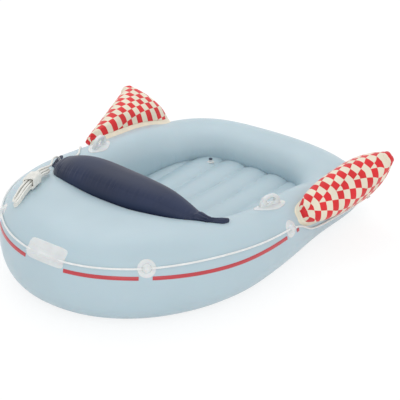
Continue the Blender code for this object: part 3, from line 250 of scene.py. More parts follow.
def sizes():
    """The float's fine sizes, as set in the scene."""
    return bpy.context.scene.float_sizes


# Curves and the hull's skin

def mirrored_controls(shares, width, length, y_offset):
    """Control points of a closed outline that is alike on both sides, bow to stern and back."""
    port = [Vector((x * width, y * length + y_offset, 0.0)) for x, y in shares]
    starboard = [Vector((-p.x, p.y, 0.0)) for p in reversed(port[1:-1])]
    return port + starboard


HULL_CONTROLS = mirrored_controls(HULL_PLAN_SHARES, HULL_WIDTH, HULL_LENGTH, 0.0)
COCKPIT_CONTROLS = mirrored_controls(COCKPIT_PLAN_SHARES, COCKPIT_WIDTH, COCKPIT_LENGTH, COCKPIT_AFT_Y)


def closed_spline(controls, t):
    """Point of a closed uniform cubic B-spline at t, which counts spans from the bow."""
    count = len(controls)
    span = math.floor(t)
    s = t - span
    blend = ((1 - s) ** 3 / 6, (3 * s ** 3 - 6 * s ** 2 + 4) / 6,
             (-3 * s ** 3 + 3 * s ** 2 + 3 * s + 1) / 6, s ** 3 / 6)
    point = Vector((0.0, 0.0, 0.0))
    for k in range(4):
        point += blend[k] * controls[(span + k - 1) % count]
    return point


def smooth_step(low, high, value):
    """0 below low, 1 above high, smooth between."""
    s = min(max((value - low) / (high - low), 0.0), 1.0)
    return s * s * (3 - 2 * s)


def stepped(values, share):
    """Smooth value between even steps, with share from 0 to 1."""
    place = min(max(share, 0.0), 1.0) * (len(values) - 1)
    low = min(int(place), len(values) - 2)
    s = smooth_step(0.0, 1.0, place - low)
    return values[low] * (1 - s) + values[low + 1] * s


def through_knots(table, place):
    """Smooth value at a place in a table of places and values."""
    last = len(table) - 1
    k = 0
    while k < last - 1 and table[k + 1][0] < place:
        k += 1

    def slope(i):
        """Slope at a knot, level at both ends."""
        before, after = table[max(i - 1, 0)], table[min(i + 1, last)]
        return (after[1] - before[1]) / (after[0] - before[0]) if 0 < i < last else 0.0

    (x0, y0), (x1, y1) = table[k], table[k + 1]
    width = x1 - x0
    s = min(max((place - x0) / width, 0.0), 1.0)
    return ((1 + 2 * s) * (1 - s) ** 2 * y0 + s * (1 - s) ** 2 * width * slope(k)
            + s * s * (3 - 2 * s) * y1 + s * s * (s - 1) * width * slope(k + 1))


def signed_power(value, power):
    """Value raised to a power, with its sign kept."""
    return math.copysign(abs(value) ** power, value)


def aft_share(t):
    """Share of the way from the bow to the stern, alike on both sides."""
    t = t % PLAN_SPANS
    return min(t, PLAN_SPANS - t) / (PLAN_SPANS / 2)


@lru_cache(maxsize=None)
def hull_section(t):
    """Inner foot, outward direction, outer and inner half widths, half height and squareness at t."""
    inner = closed_spline(COCKPIT_CONTROLS, t)
    across = closed_spline(HULL_CONTROLS, t) - inner
    width = across.length
    share = aft_share(t)
    crest = stepped(CREST_STEP_SHARES, share)
    height = (BOW_HEIGHT + (SIDE_HEIGHT - BOW_HEIGHT) * smooth_step(0.10, 0.46, share)
              + (STERN_HEIGHT - SIDE_HEIGHT) * smooth_step(0.42, 0.66, share))
    power = stepped(SQUARE_STEP_SHARES, share)
    return inner, across / width, width * crest, width * (1 - crest), (height + GROUND_FLAT) / 2, power


def hull_point(t, angle):
    """Point of the hull's skin; the angle runs from the outer side over the top to the inner side."""
    inner, out, half_out, half_in, half_height, power = hull_section(round(t, 5))
    reach = signed_power(math.cos(angle), power)
    rise = signed_power(math.sin(angle), power)
    if reach < 0:
        place = half_in * (1 + reach)
    elif rise < 0:
        place = half_in + half_out - min(half_out, LOWER_ROUND) * (1 - reach)
    else:
        place = half_in + half_out * reach
    point = inner + out * place
    point.z = max(half_height - GROUND_FLAT + half_height * rise, 0.0)
    return point


def hull_frame(t, angle):
    """Point, outward normal and tangent on the hull's skin."""
    step = 0.01
    here = hull_point(t, angle)
    along = (hull_point(t + step, angle) - hull_point(t - step, angle)).normalized()
    up = (hull_point(t, angle + step) - hull_point(t, angle - step)).normalized()
    normal = along.cross(up).normalized()
    inner, out, _, half_in, half_height, _ = hull_section(round(t, 5))
    middle = inner + out * half_in
    middle.z = half_height
    return here, -normal if normal.dot(here - middle) < 0 else normal, along


def side_angle(t, height_share):
    """Angle on the outer side at a share of the half height."""
    power = stepped(SQUARE_STEP_SHARES, aft_share(t))
    return math.asin(signed_power(height_share, 1 / power))


def side_frame(t, height_share):
    """Frame on the hull's outer side: across runs up the side, along runs aft."""
    here, normal, along = hull_frame(t, side_angle(t, height_share))
    across = along.cross(normal).normalized()
    return here, -across if across.z < 0 else across, along, normal


def line_share(t):
    """Height of the grab line on the hull's side, as a share of the half height."""
    return through_knots(LINE_HEIGHT_SHARES, aft_share(t))


def line_point(t):
    """Place on the skin under the grab line."""
    return hull_point(t, side_angle(t, line_share(t)))


def walk(t, distance, direction, share_at):
    """Place reached from t after a distance along a line at the given heights."""
    step = 0.005
    gone = 0.0
    here = hull_point(t, side_angle(t, share_at(t)))
    while gone < distance:
        t += step * direction
        there = hull_point(t, side_angle(t, share_at(t)))
        gone += (there - here).length
        here = there
    return t


def eyelet_ts():
    """Names and places of the eyelets round the hull."""
    return [(name + suffix, t if suffix == "_port" else PLAN_SPANS - t)
            for name, t in EYELET_PLACES for suffix in ("_port", "_starboard")]


# Relief of soft skins

def ripple(along, seed, pitch):
    """Uneven waves along a seam: broad ones with finer ones on them."""
    broad = noise.noise(Vector((along / pitch, seed, 0.0)))
    return broad + 0.6 * noise.noise(Vector((along / pitch * 2.3, seed, 7.0)))


def pucker(along, off, seed, reach, pitch):
    """Height of the folds that run square to a seam and die away from it."""
    fade = math.exp(-(off / reach) ** 2)
    if fade < 0.01:
        return 0.0
    return sizes().pucker * fade * ripple(along, seed, pitch)


def weld_groove(off):
    """Depth of a weld line: a flat strip between two soft lips."""
    half = sizes().weld / 2
    near = math.exp(-(off / half) ** 4)
    lips = math.exp(-((abs(off) - 1.8 * half) / half) ** 2)
    return -WELD_DEPTH * near + WELD_LIP * lips


def slow_wave(point, seed):
    """Soft unevenness of a blown skin."""
    return sizes().wave * noise.noise(point * WAVES_PER_METRE + Vector((seed, 0.0, 0.0)))


# Meshes

def wrapped_grid(columns, rows, place, uv=None):
    """Mesh of a grid whose vertices go to place(u, v), from 0 to 1 each way; seams and poles are closed."""
    bm = bmesh.new()
    bmesh.ops.create_grid(bm, x_segments=columns, y_segments=rows, size=1.0)
    layer = bm.loops.layers.uv.new("UVMap")
    shares = {}
    for vert in bm.verts:
        u = round((vert.co.x + 1) / 2 * columns) / columns
        v = round((vert.co.y + 1) / 2 * rows) / rows
        shares[vert] = (u, v)
    spots = {share: place(*share) for share in shares.values()}
    for vert, share in shares.items():
        vert.co = spots[share]
    for face in bm.faces:
        for loop in face.loops:
            share = shares[loop.vert]
            loop[layer].uv = uv(*share) if uv else share
    bmesh.ops.remove_doubles(bm, verts=bm.verts, dist=0.000002)
    bmesh.ops.dissolve_degenerate(bm, dist=0.000001, edges=bm.edges)
    bmesh.ops.recalc_face_normals(bm, faces=bm.faces)
    return bm


def absorb(bm, other):
    """Adds another bmesh to one, and frees it."""
    mesh = bpy.data.meshes.new("part")
    other.to_mesh(mesh)
    other.free()
    bm.from_mesh(mesh)
    bpy.data.meshes.remove(mesh)


def piece(name, bm, finish, body=ROOT, nodes=(), sharp=50.0):
    """Turns a bmesh into a finished piece that rides on a body and stands for CAD nodes."""
    mesh = bpy.data.meshes.new(name)
    bm.to_mesh(mesh)
    bm.free()
    mesh.shade_smooth()
    mesh.set_sharp_from_angle(angle=math.radians(sharp))
    thing = bpy.data.objects.new(name, mesh)
    bpy.context.scene.collection.objects.link(thing)
    mesh.materials.append(finish)
    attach(thing, body)
    if nodes:
        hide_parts(*nodes)
    return thing


def oval(angle, half_x, half_y, power=1.0):
    """Point of an oval; a power under 1 squares it."""
    return half_x * signed_power(math.cos(angle), power), half_y * signed_power(math.sin(angle), power)


def tube_sections(path, closed):
    """Frames along a path, turned as little as possible: point, two square axes and length so far."""
    count = len(path)
    tangents = []
    for i in range(count):
        before = path[i - 1] if i or closed else path[i]
        after = path[(i + 1) % count] if i + 1 < count or closed else path[i]
        tangents.append((after - before).normalized())
    side = tangents[0].orthogonal().normalized()
    sections = []
    gone = 0.0
    for i, (point, tangent) in enumerate(zip(path, tangents)):
        if i:
            gone += (point - path[i - 1]).length
        side = (side - tangent * side.dot(tangent)).normalized()
        sections.append((point, side, tangent.cross(side), gone))
    return sections


def tube(path, radius, sides, closed=False):
    """Mesh of a round tube along a path, with domed ends if it is open."""
    sections = tube_sections(path, closed)
    first, last = sections[0], sections[-1]
    if closed:
        twist = math.atan2(last[1].dot(first[2]), last[1].dot(first[1]))
        total = last[3] + (first[0] - last[0]).length
        rows = [(section, 1.0) for section in sections + [(*first[:3], total)]]
    else:
        twist = 0.0
        domes = ((0.0, 1.0), (0.5, 0.87), (0.87, 0.5))
        back = (path[0] - path[1]).normalized()
        ahead = (path[-1] - path[-2]).normalized()
        rows = ([((first[0] + back * radius * lift, *first[1:]), scale) for scale, lift in domes]
                + [(section, 1.0) for section in sections]
                + [((last[0] + ahead * radius * lift, *last[1:]), scale) for scale, lift in reversed(domes)])
    last_row = len(rows) - 1

    def place(u, v):
        """Point on a ring; a closed tube's last ring is its first."""
        (point, side, other, _), scale = rows[round(u * last_row)]
        angle = math.tau * v + twist * u
        if closed and round(u * last_row) == last_row:
            angle = math.tau * v
        return point + (side * math.cos(angle) + other * math.sin(angle)) * (radius * scale)

    def uv(u, v):
        """Length along the tube and share round it."""
        return rows[round(u * last_row)][0][3], v

    return wrapped_grid(last_row, sides, place, uv)


def smooth_path(points, step, closed=False):
    """Even points along a smooth curve through given points."""
    count = len(points)
    if closed:
        padded = [points[-1]] + points + [points[0], points[1]]
        spans = count
    else:
        padded = [2 * points[0] - points[1]] + points + [2 * points[-1] - points[-2]]
        spans = count - 1
    path = []
    for k in range(spans):
        a, b, c, d = padded[k:k + 4]
        cuts = max(1, round((c - b).length / step))
        for j in range(cuts):
            s = j / cuts
            path.append(((2 * b) + (c - a) * s + (2 * a - 5 * b + 4 * c - d) * s * s
                         + (3 * b - 3 * c + d - a) * s * s * s) / 2)
    if not closed:
        path.append(points[-1].copy())
    return path


def path_length(path):
    """Length of an open path."""
    return sum((b - a).length for a, b in zip(path, path[1:]))


def tree_of(thing):
    """Search tree of a mesh object's own mesh."""
    bm = bmesh.new()
    bm.from_mesh(thing.data)
    tree = BVHTree.FromBMesh(bm)
    bm.free()
    return tree


def skin_point(tree, axes, x, y):
    """Place on a skin under a place in the plane of a frame."""
    middle, across, along, normal = axes
    start = middle + across * x + along * y + normal * (HULL_WIDTH / 4)
    return tree.ray_cast(start, -normal)[0]


def skin_height(tree, x, y):
    """Height of a solid's top skin at a place, or None past its edge."""
    hit = tree.ray_cast(Vector((x, y, 4 * BOW_HEIGHT)), Vector((0.0, 0.0, -1.0)))
    return hit[0].z if hit[0] else None


# Materials

class Value:
    """An output of a node that can be used in sums."""

    def __init__(self, finish, socket):
        """Keeps the finish whose tree the output is in."""
        self.finish = finish
        self.socket = socket

    def sum(self, operation, *terms):
        """Adds a Math node on these terms."""
        return self.finish.node("ShaderNodeMath", {"operation": operation}, dict(enumerate(terms)))

    def __add__(self, other):
        """Sum of two values."""
        return self.sum("ADD", self, other)

    __radd__ = __add__

    def __sub__(self, other):
        """This value less another."""
        return self.sum("SUBTRACT", self, other)

    def __mul__(self, other):
        """Product of two values."""
        return self.sum("MULTIPLY", self, other)

    __rmul__ = __mul__

    def sine(self):
        """Sine of the value."""
        return self.sum("SINE", self)

    def size(self):
        """The value without its sign."""
        return self.sum("ABSOLUTE", self)

    def most(self, other):
        """The larger of two values."""
        return self.sum("MAXIMUM", self, other)


class Finish:
    """One procedural material, made node by node."""

    def __init__(self, name, roughness=0.4, coat=0.0, coat_roughness=0.15, sheen=0.0, glow=0.0, gloss=0.5):
        """Sets the shader's steady values."""
        self.material = bpy.data.materials.new(name)
        self.material.use_nodes = True
        self.tree = self.material.node_tree
        self.shader = self.tree.nodes["Principled BSDF"]
        self.shader.inputs["Roughness"].default_value = roughness
        self.shader.inputs["Coat Weight"].default_value = coat
        self.shader.inputs["Coat Roughness"].default_value = coat_roughness
        self.shader.inputs["Sheen Weight"].default_value = sheen
        self.shader.inputs["Specular IOR Level"].default_value = gloss
        self.shader.inputs["Subsurface Weight"].default_value = glow
        self.shader.inputs["Subsurface Scale"].default_value = 0.01

    def node(self, kind, settings=None, inputs=None, output=0):
        """Adds a node, sets it, feeds its sockets and returns one output."""
        made = self.tree.nodes.new(kind)
        for key, value in (settings or {}).items():
            setattr(made, key, value)
        for socket, value in (inputs or {}).items():
            self.feed(made.inputs[socket], value)
        return Value(self, made.outputs[output])

    def feed(self, socket, value):
        """Links a value to a socket, or sets the socket."""
        if isinstance(value, Value):
            self.tree.links.new(value.socket, socket)
        elif socket.type == "RGBA":
            socket.default_value = (*value, 1.0)
        else:
            socket.default_value = value

    def set(self, name, value):
        """Feeds one of the shader's own sockets."""
        self.feed(self.shader.inputs[name], value)

    def place(self):
        """Object coordinates in metres."""
        return self.node("ShaderNodeTexCoord", output="Object")

    def uv(self):
        """The piece's own UV map."""
        return self.node("ShaderNodeUVMap", {"uv_map": "UVMap"})

    def noise(self, vector, scale, detail=2.0, roughness=0.5):
        """Noise from 0 to 1."""
        return self.node("ShaderNodeTexNoise", None,
                         {"Vector": vector, "Scale": scale, "Detail": detail, "Roughness": roughness})

    def ramp(self, value, low, high, first=0.0, last=1.0):
        """Smooth rise of a value between two limits."""
        return self.node("ShaderNodeMapRange", {"interpolation_type": "SMOOTHSTEP"},
                         {"Value": value, "From Min": low, "From Max": high, "To Min": first, "To Max": last})

    def mix(self, factor, first, last):
        """Colour between two colours."""
        return self.node("ShaderNodeMix", {"data_type": "RGBA"}, {0: factor, 6: first, 7: last}, output=2)

    def drift(self, clouds, base, dark, light, high=0.7):
        """Colour that drifts between a darker and a lighter shade."""
        return self.mix(self.ramp(clouds, 0.3, high), shaded(base, dark), shaded(base, light))

    def bump(self, height, distance, strength):
        """Feeds the shader's normal from a height."""
        normal = self.node("ShaderNodeBump", None,
                           {"Height": height, "Distance": distance, "Strength": strength})
        self.set("Normal", normal)

    def parts(self, vector):
        """X and Y of a vector."""
        return [self.node("ShaderNodeSeparateXYZ", None, {0: vector}, output=axis) for axis in ("X", "Y")]


def shaded(colour, share):
    """Colour made darker or lighter by a share."""
    return tuple(min(max(c * share, 0.0), 1.0) for c in colour)


@lru_cache(maxsize=None)
def vinyl_finish():
    """Pale blue film: even colour with faint clouds, soft gloss, fine handling marks."""
    finish = Finish("pale_blue_vinyl", roughness=0.42, coat=0.18, coat_roughness=0.22, glow=0.06)
    base = tuple(colours().vinyl)
    place = finish.place()
    clouds = finish.noise(place, scale=3.2, detail=3.0)
    fine = finish.noise(place, scale=210.0)
    wide = finish.noise(place, scale=17.0)
    finish.set("Base Color", finish.drift(clouds, base, dark=0.975, light=1.02))
    finish.set("Roughness", finish.ramp(wide, 0.25, 0.75, first=0.36, last=0.48))
    finish.bump(fine * 0.12 + wide * 0.9, distance=0.0012, strength=0.35)
    return finish.material


@lru_cache(maxsize=None)
def navy_finish():
    """Dark blue film with a satin skin and fine crow's-feet."""
    finish = Finish("navy_vinyl", roughness=0.46, coat=0.04, coat_roughness=0.30, gloss=0.30)
    base = tuple(colours().navy)
    place = finish.place()
    clouds = finish.noise(place, scale=6.0, detail=3.0)
    grain = finish.noise(place, scale=260.0)
    folds = finish.noise(place, scale=34.0, detail=3.0)
    finish.set("Base Color", finish.drift(clouds, base, dark=0.88, light=1.15))
    finish.set("Roughness", finish.ramp(clouds, 0.25, 0.75, first=0.42, last=0.52))
    finish.bump(grain * 0.10 + folds * 0.9, distance=0.0016, strength=0.45)
    return finish.material


@lru_cache(maxsize=None)
def check_finish():
    """Red and cream squares printed on the film, laid out on the panels' own map."""
    finish = Finish("check_vinyl", roughness=0.44, coat=0.05, coat_roughness=0.20, gloss=0.28)
    red, cream = tuple(colours().red), tuple(colours().cream)
    pitch = sizes().check
    across, up = finish.parts(finish.uv())
    wave = (across * (math.pi / pitch)).sine() * (up * (math.pi / pitch)).sine()
    edge = finish.ramp(wave, -0.035, 0.035)
    clouds = finish.noise(finish.place(), scale=14.0, detail=3.0)
    deep = finish.drift(clouds, red, dark=0.90, light=1.06)
    pale = finish.drift(clouds, cream, dark=0.96, light=1.03)
    finish.set("Base Color", finish.mix(edge, deep, pale))
    grain = finish.noise(finish.place(), scale=240.0)
    finish.bump(grain * 0.15 + clouds * 0.8 + edge * 0.05, distance=0.0012, strength=0.4)
    return finish.material


@lru_cache(maxsize=None)
def plain_finish(name, roughness, coat, glow=0.0):
    """Plain coloured film or moulding with faint clouds and grain."""
    finish = Finish(name, roughness=roughness, coat=coat, coat_roughness=0.12, glow=glow)
    base = tuple({"cream_vinyl": colours().cream, "red_tape": colours().tape}.get(name, colours().trim))
    place = finish.place()
    clouds = finish.noise(place, scale=22.0, detail=3.0)
    grain = finish.noise(place, scale=300.0)
    finish.set("Base Color", finish.drift(clouds, base, dark=0.95, light=1.03))
    finish.bump(grain * 0.2 + clouds * 0.8, distance=0.0008, strength=0.35)
    return finish.material


def trim_finish():
    """Milky film of the patches and the oar rests."""
    return plain_finish("milky_trim", roughness=0.24, coat=0.5, glow=0.12)


def valve_finish():
    """Milky soft moulding of the valves."""
    return plain_finish("milky_valve", roughness=0.28, coat=0.4, glow=0.1)


@lru_cache(maxsize=None)
def braid_finish(name, diameter, strands, slope):
    """Braided cord: crossing strands on the tube's own map, with a fuzzy sheen and painted shade in the gaps
    between strands.
    """
    finish = Finish(name, roughness=0.82, sheen=0.25)
    base = tuple(colours().line if name == "white_cord" else colours().rope)
    along, round_share = finish.parts(finish.uv())
    lay = along * (math.tau * slope / diameter)
    turn = round_share * (math.tau * strands)
    left = (lay + turn).sine().size()
    right = (lay - turn).sine().size()
    height = left.most(right)
    # Painted shade: the gaps between strands take a darker copy of the colour, and the strand tops keep it
    # whole.
    gap_shade_mask = finish.ramp(height, 0.35, 0.80)
    dirt = finish.noise(finish.place(), scale=40.0, detail=3.0)
    pale = finish.drift(dirt, base, dark=0.93, light=1.04, high=0.75)
    finish.set("Base Color", finish.mix(gap_shade_mask, shaded(base, 0.88), pale))
    finish.bump(height, distance=diameter * 0.10, strength=0.8)
    return finish.material


# Pieces

class FloatOperator(bpy.types.Operator):
    """Shared form of the float's operators."""
    bl_options = {"REGISTER", "UNDO"}

    def execute(self, context):
        """Makes the piece."""
        self.make()
        return {"FINISHED"}


class FLOAT_OT_stage(FloatOperator):
    """Makes the pale floor, the soft studio light and the camera at the photograph's angle."""
    bl_idname = "float_looks.stage"
    bl_label = "Stage"

    def make(self):
        """Floor, light and camera."""
        half = STAGE_SIZE / 2
        floor = wrapped_grid(1, 1, lambda u, v: Vector((half * (2 * u - 1), half * (2 * v - 1), -STAGE_DROP)))
        mesh = bpy.data.meshes.new("studio_floor")
        floor.to_mesh(mesh)
        floor.free()
        ground = bpy.data.objects.new("studio_floor", mesh)
        bpy.context.scene.collection.objects.link(ground)
        mesh.materials.append(self.floor_material())
        self.light_room()
        self.set_camera()

    def added(self, tree, kind, *feeds):
        """Adds a node whose first sockets take these outputs."""
        made = tree.nodes.new(kind)
        for socket, feed in zip(made.inputs, feeds):
            tree.links.new(feed, socket)
        return made

    def picked(self, tree, unseen, seen):
        """One shader for the room's own light, another for what the camera, gloss and glass see."""
        rays = self.added(tree, "ShaderNodeLightPath")
        total = rays.outputs["Is Camera Ray"]
        for name in ("Is Glossy Ray", "Is Transmission Ray"):
            most = self.added(tree, "ShaderNodeMath", total, rays.outputs[name])
            most.operation = "MAXIMUM"
            total = most.outputs[0]
        return self.added(tree, "ShaderNodeMixShader", total, unseen.outputs[0], seen.outputs[0]).outputs[0]

    def floor_material(self):
        """White floor that keeps the float's shadow faint where the camera or a reflection sees it."""
        material = bpy.data.materials.new("studio_floor")
        material.use_nodes = True
        tree = material.node_tree
        tree.nodes.clear()
        lit = self.added(tree, "ShaderNodeBsdfDiffuse")
        lit.inputs["Color"].default_value = (*FLOOR_LIT, 1.0)
        faint = self.added(tree, "ShaderNodeBsdfDiffuse")
        faint.inputs["Color"].default_value = (*FLOOR_FAINT, 1.0)
        glow = self.added(tree, "ShaderNodeEmission")
        glow.inputs["Strength"].default_value = FLOOR_GLOW
        pale = self.added(tree, "ShaderNodeAddShader", faint.outputs[0], glow.outputs[0])
        self.added(tree, "ShaderNodeOutputMaterial", self.picked(tree, lit, pale))
        return material

    def light_room(self):
        """Even sky and two broad lamps."""
        world = bpy.data.worlds.new("studio")
        bpy.context.scene.world = world
        world.use_nodes = True
        tree = world.node_tree
        tree.nodes.clear()
        soft = self.added(tree, "ShaderNodeBackground")
        soft.inputs["Color"].default_value = (*SKY_COLOUR, 1.0)
        soft.inputs["Strength"].default_value = SKY_STRENGTH
        white = self.added(tree, "ShaderNodeBackground")
        white.inputs["Color"].default_value = (1.0, 1.0, 1.0, 1.0)
        white.inputs["Strength"].default_value = 1.0
        self.added(tree, "ShaderNodeOutputWorld", self.picked(tree, soft, white))
        self.add_lamp("key_lamp", Vector((-1.8, 1.4, 4.4)), size=3.6, power=40.0)
        self.add_lamp("fill_lamp", Vector((3.4, -3.6, 1.6)), size=3.4, power=30.0)

    def add_lamp(self, name, place, size, power):
        """Square lamp that looks at the float."""
        lamp = bpy.data.lights.new(name, "AREA")
        lamp.size = size
        lamp.energy = power
        thing = bpy.data.objects.new(name, lamp)
        thing.location = place
        thing.rotation_euler = (LAMP_AIM - place).to_track_quat("-Z", "Y").to_euler()
        bpy.context.scene.collection.objects.link(thing)

    def set_camera(self):
        """Camera at the photograph's angle."""
        lens = bpy.data.cameras.new("camera")
        lens.lens = CAMERA_LENS
        lens.sensor_width = CAMERA_SENSOR
        camera = bpy.data.objects.new("camera", lens)
        rows = zip(CAMERA_RIGHT, CAMERA_UP, CAMERA_BACK)
        camera.matrix_world = Matrix.Translation(CAMERA_PLACE) @ Matrix(tuple(rows)).to_4x4()
        bpy.context.scene.collection.objects.link(camera)
        bpy.context.scene.camera = camera


class FLOAT_OT_hull(FloatOperator):
    """Makes the hull's blown skin with its side welds."""
    bl_idname = "float_looks.hull"
    bl_label = "Hull"
    stations = 700
    sides = 104
    ground_band = 0.0005
    lower_weld_share = -0.16
    weld_reach_share = 0.3
    outer_girth = 4.7
    inner_girth = 3.2
    inner_fold_top = 0.16

    def make(self):
        """The ring as one skin."""
        bm = wrapped_grid(self.stations, self.sides, self.place)
        piece("hull_skin", bm, vinyl_finish(), nodes=("hull_ring",))

    def place(self, u, v):
        """Point of the skin with its relief."""
        t = (PLAN_SPANS * u) % PLAN_SPANS
        angle = math.tau * (v % 1.0)
        here, normal, _ = hull_frame(t, angle)
        if here.z <= self.ground_band:
            return here
        lift = slow_wave(here, HULL_WAVE_SEED) * smooth_step(0.0, 0.03, here.z)
        half_height = hull_section(round(t, 5))[4]
        rise = (here.z + GROUND_FLAT) / half_height - 1
        if math.cos(angle) > 0 and abs(rise - self.lower_weld_share) < self.weld_reach_share:
            off = (rise - self.lower_weld_share) * half_height
            folds = pucker(u * self.outer_girth, off, seed=11.0, reach=0.016, pitch=0.016)
            lift += weld_groove(off) * 1.6 + folds * 0.6
        if math.cos(angle) < 0 and here.z < self.inner_fold_top:
            off = here.z - FLOOR_THICKNESS
            lift += pucker(u * self.inner_girth, off, seed=5.0, reach=0.040, pitch=0.030) * 0.9
        point = here + normal * lift
        point.z = max(point.z, 0.0)
        return point


class FLOAT_OT_floor(FloatOperator):
    """Makes the blown floor with its welded channels."""
    bl_idname = "float_looks.floor"
    bl_label = "Floor"
    columns = 150
    rows = 170
    outline_points = 336

    def make(self):
        """The floor's top and underside as one pad."""
        ts = [PLAN_SPANS * i / self.outline_points for i in range(self.outline_points + 1)]
        self.outline = [hull_point(t, self.inner_angle(t)) for t in ts]
        self.fore = min(p.y for p in self.outline) - FLOOR_TUCK
        self.aft = max(p.y for p in self.outline) + FLOOR_TUCK
        bm = wrapped_grid(2 * self.columns, self.rows, self.place)
        floor = piece("floor_pad", bm, vinyl_finish(), nodes=("floor_mattress",))

    def inner_angle(self, t):
        """Angle on the ring's inner side at half the floor's thickness."""
        half_height, power = hull_section(round(t, 5))[4:]
        rise = (FLOOR_THICKNESS / 2 + GROUND_FLAT) / half_height - 1
        return math.pi - math.asin(signed_power(rise, 1 / power))

    @lru_cache(maxsize=None)
    def half_width(self, y):
        """Half width of the floor at a place along it."""
        port = sorted((p for p in self.outline if p.x >= 0), key=lambda p: p.y)
        for a, b in zip(port, port[1:]):
            if a.y <= y <= b.y and b.y > a.y:
                return a.x + (b.x - a.x) * (y - a.y) / (b.y - a.y) + FLOOR_TUCK
        return 0.0

    def place(self, u, v):
        """Point of the pad; u runs round the section, v runs aft."""
        y = self.fore + (self.aft - self.fore) * (1 - math.cos(math.pi * v)) / 2
        half = self.half_width(min(max(y, self.fore + 2 * FLOOR_TUCK), self.aft - 2 * FLOOR_TUCK))
        upper = u <= 0.5
        across = 4 * u - 1 if upper else 3 - 4 * u
        x = half * math.sin(math.pi / 2 * across)
        middle = FLOOR_THICKNESS / 2
        inset = min((half - abs(x)) / middle, min(y - self.fore, self.aft - y) / middle, 1.0)
        fall = math.sqrt(max(1 - (1 - max(inset, 0.0)) ** 2, 0.0))
        if not upper:
            return Vector((x, y, FLOOR_BASE + (middle - FLOOR_BASE) * (1 - fall)))
        valley = (x / FLOOR_CHANNEL_PITCH + 0.5) % 1.0
        off = min(valley, 1 - valley) * FLOOR_CHANNEL_PITCH
        crown = FLOOR_THICKNESS - FLOOR_CHANNEL_DEPTH * (1 - abs(math.sin(math.pi * valley)) ** 0.6)
        channel = round((x / FLOOR_CHANNEL_PITCH + 0.5) - (valley if valley < 0.5 else valley - 1))
        folds = pucker(y, off, seed=20.0 + channel, reach=0.020, pitch=0.014)
        crown += folds * 0.8 * smooth_step(0.002, 0.008, off)
        crown += slow_wave(Vector((x, y, 0.0)), seed=9.0)
        return Vector((x, y, middle + (crown - middle) * fall))


def bolster_section(share, hull_tree):
    """Centre, half depth and half height of the bolster at a place from -1, starboard, to 1, port."""
    half = BOLSTER_LENGTH / 2
    fullness = through_knots(BOLSTER_FULLNESS_SHARES, (share + 1) / 2) if abs(share) <= 1 else 0.0
    past = max(abs(share) - 1, 0.0) * half
    tail = BOLSTER_TAIL_DIAMETER / 2 * (1 + (BOLSTER_PADDLE_SHARE - 1) * smooth_step(0.01, 0.04, past))
    depth = max(BOLSTER_DEPTH / 2 * fullness, tail)
    height = max(BOLSTER_HEIGHT / 2 * fullness, tail * BOLSTER_TAIL_FLAT_SHARE)
    aft = BOLSTER_TAIL_AFT_SHARES[0 if share < 0 else 1]
    drop = BOLSTER_SWEEP * share * share * smooth_step(0.30, 0.80, abs(share))
    centre = Vector((BOLSTER_X + half * share, BOLSTER_Y + BOLSTER_SWEEP * share * share + past * aft,
                     BOLSTER_Z - drop))
    under = skin_height(hull_tree, centre.x, centre.y)
    if under is not None:
        centre.z = max(centre.z, under + height * BOLSTER_REST_SHARES[0 if share < 0 else 1])
    return centre, depth, height


class FLOAT_OT_bolster(FloatOperator):
    """Makes the navy bolster with its puckered seams and pinched tails."""
    bl_idname = "float_looks.bolster"
    bl_label = "Bolster"
    sections = 300
    sides = 110
    closing = 0.02
    seam_depth = 0.0012
    seam_reach = 0.0022
    gather_height = 0.0025
    gather_folds = 9
    rest_gap = 0.0012

    def make(self):
        """The bolster as one pad."""
        self.tree = tree_of(frame["nodes"]["hull_ring"])
        self.rows = {}
        bm = wrapped_grid(self.sections, self.sides, self.place)
        bolster = piece("bolster_pad", bm, navy_finish(), nodes=("bolster",))

    def row(self, u):
        """Section at a share of the whole length, tails included."""
        if u not in self.rows:
            tail = 1 + BOLSTER_TAIL_LENGTH / (BOLSTER_LENGTH / 2)
            share = -math.cos(math.pi * u) * tail
            centre, depth, height = bolster_section(share, self.tree)
            past = max(abs(share) - (tail - self.closing), 0.0) / self.closing
            close = math.sqrt(max(1 - past ** 2, 0.0))
            self.rows[u] = (share, centre, depth * close, height * close)
        return self.rows[u]

    def place(self, u, v):
        """Point of the skin with its seam folds, pressed flat where it lies on the deck."""
        share, centre, depth, height = self.row(u)
        angle = math.tau * (v % 1.0)
        arm = Vector((0.0, math.cos(angle), math.sin(angle)))
        point = centre + Vector((0.0, depth * arm.y, height * arm.z))
        girth = (depth + height) / 2
        lift = slow_wave(point, seed=31.0) * min(girth / 0.05, 1.0)
        for index, degrees in enumerate(BOLSTER_SEAM_DEGREES):
            turn = (angle - math.radians(degrees) + math.pi) % math.tau - math.pi
            off = turn * girth
            body = smooth_step(1.05, 0.85, abs(share)) if girth > 0 else 0.0
            lift += pucker(point.x, off, seed=40.0 + index, reach=0.024, pitch=0.0095) * 1.7 * body
            lift -= self.seam_depth * math.exp(-(off / self.seam_reach) ** 2) * body
        gather = smooth_step(0.80, 1.0, abs(share)) * smooth_step(1.14, 1.0, abs(share))
        lift += self.gather_height * gather * math.sin(angle * self.gather_folds + math.copysign(2.0, share))
        point += arm * (lift if girth > 0.002 else 0.0)
        under = skin_height(self.tree, point.x, point.y)
        if under is not None:
            point.z = max(point.z, under + self.rest_gap)
        return point


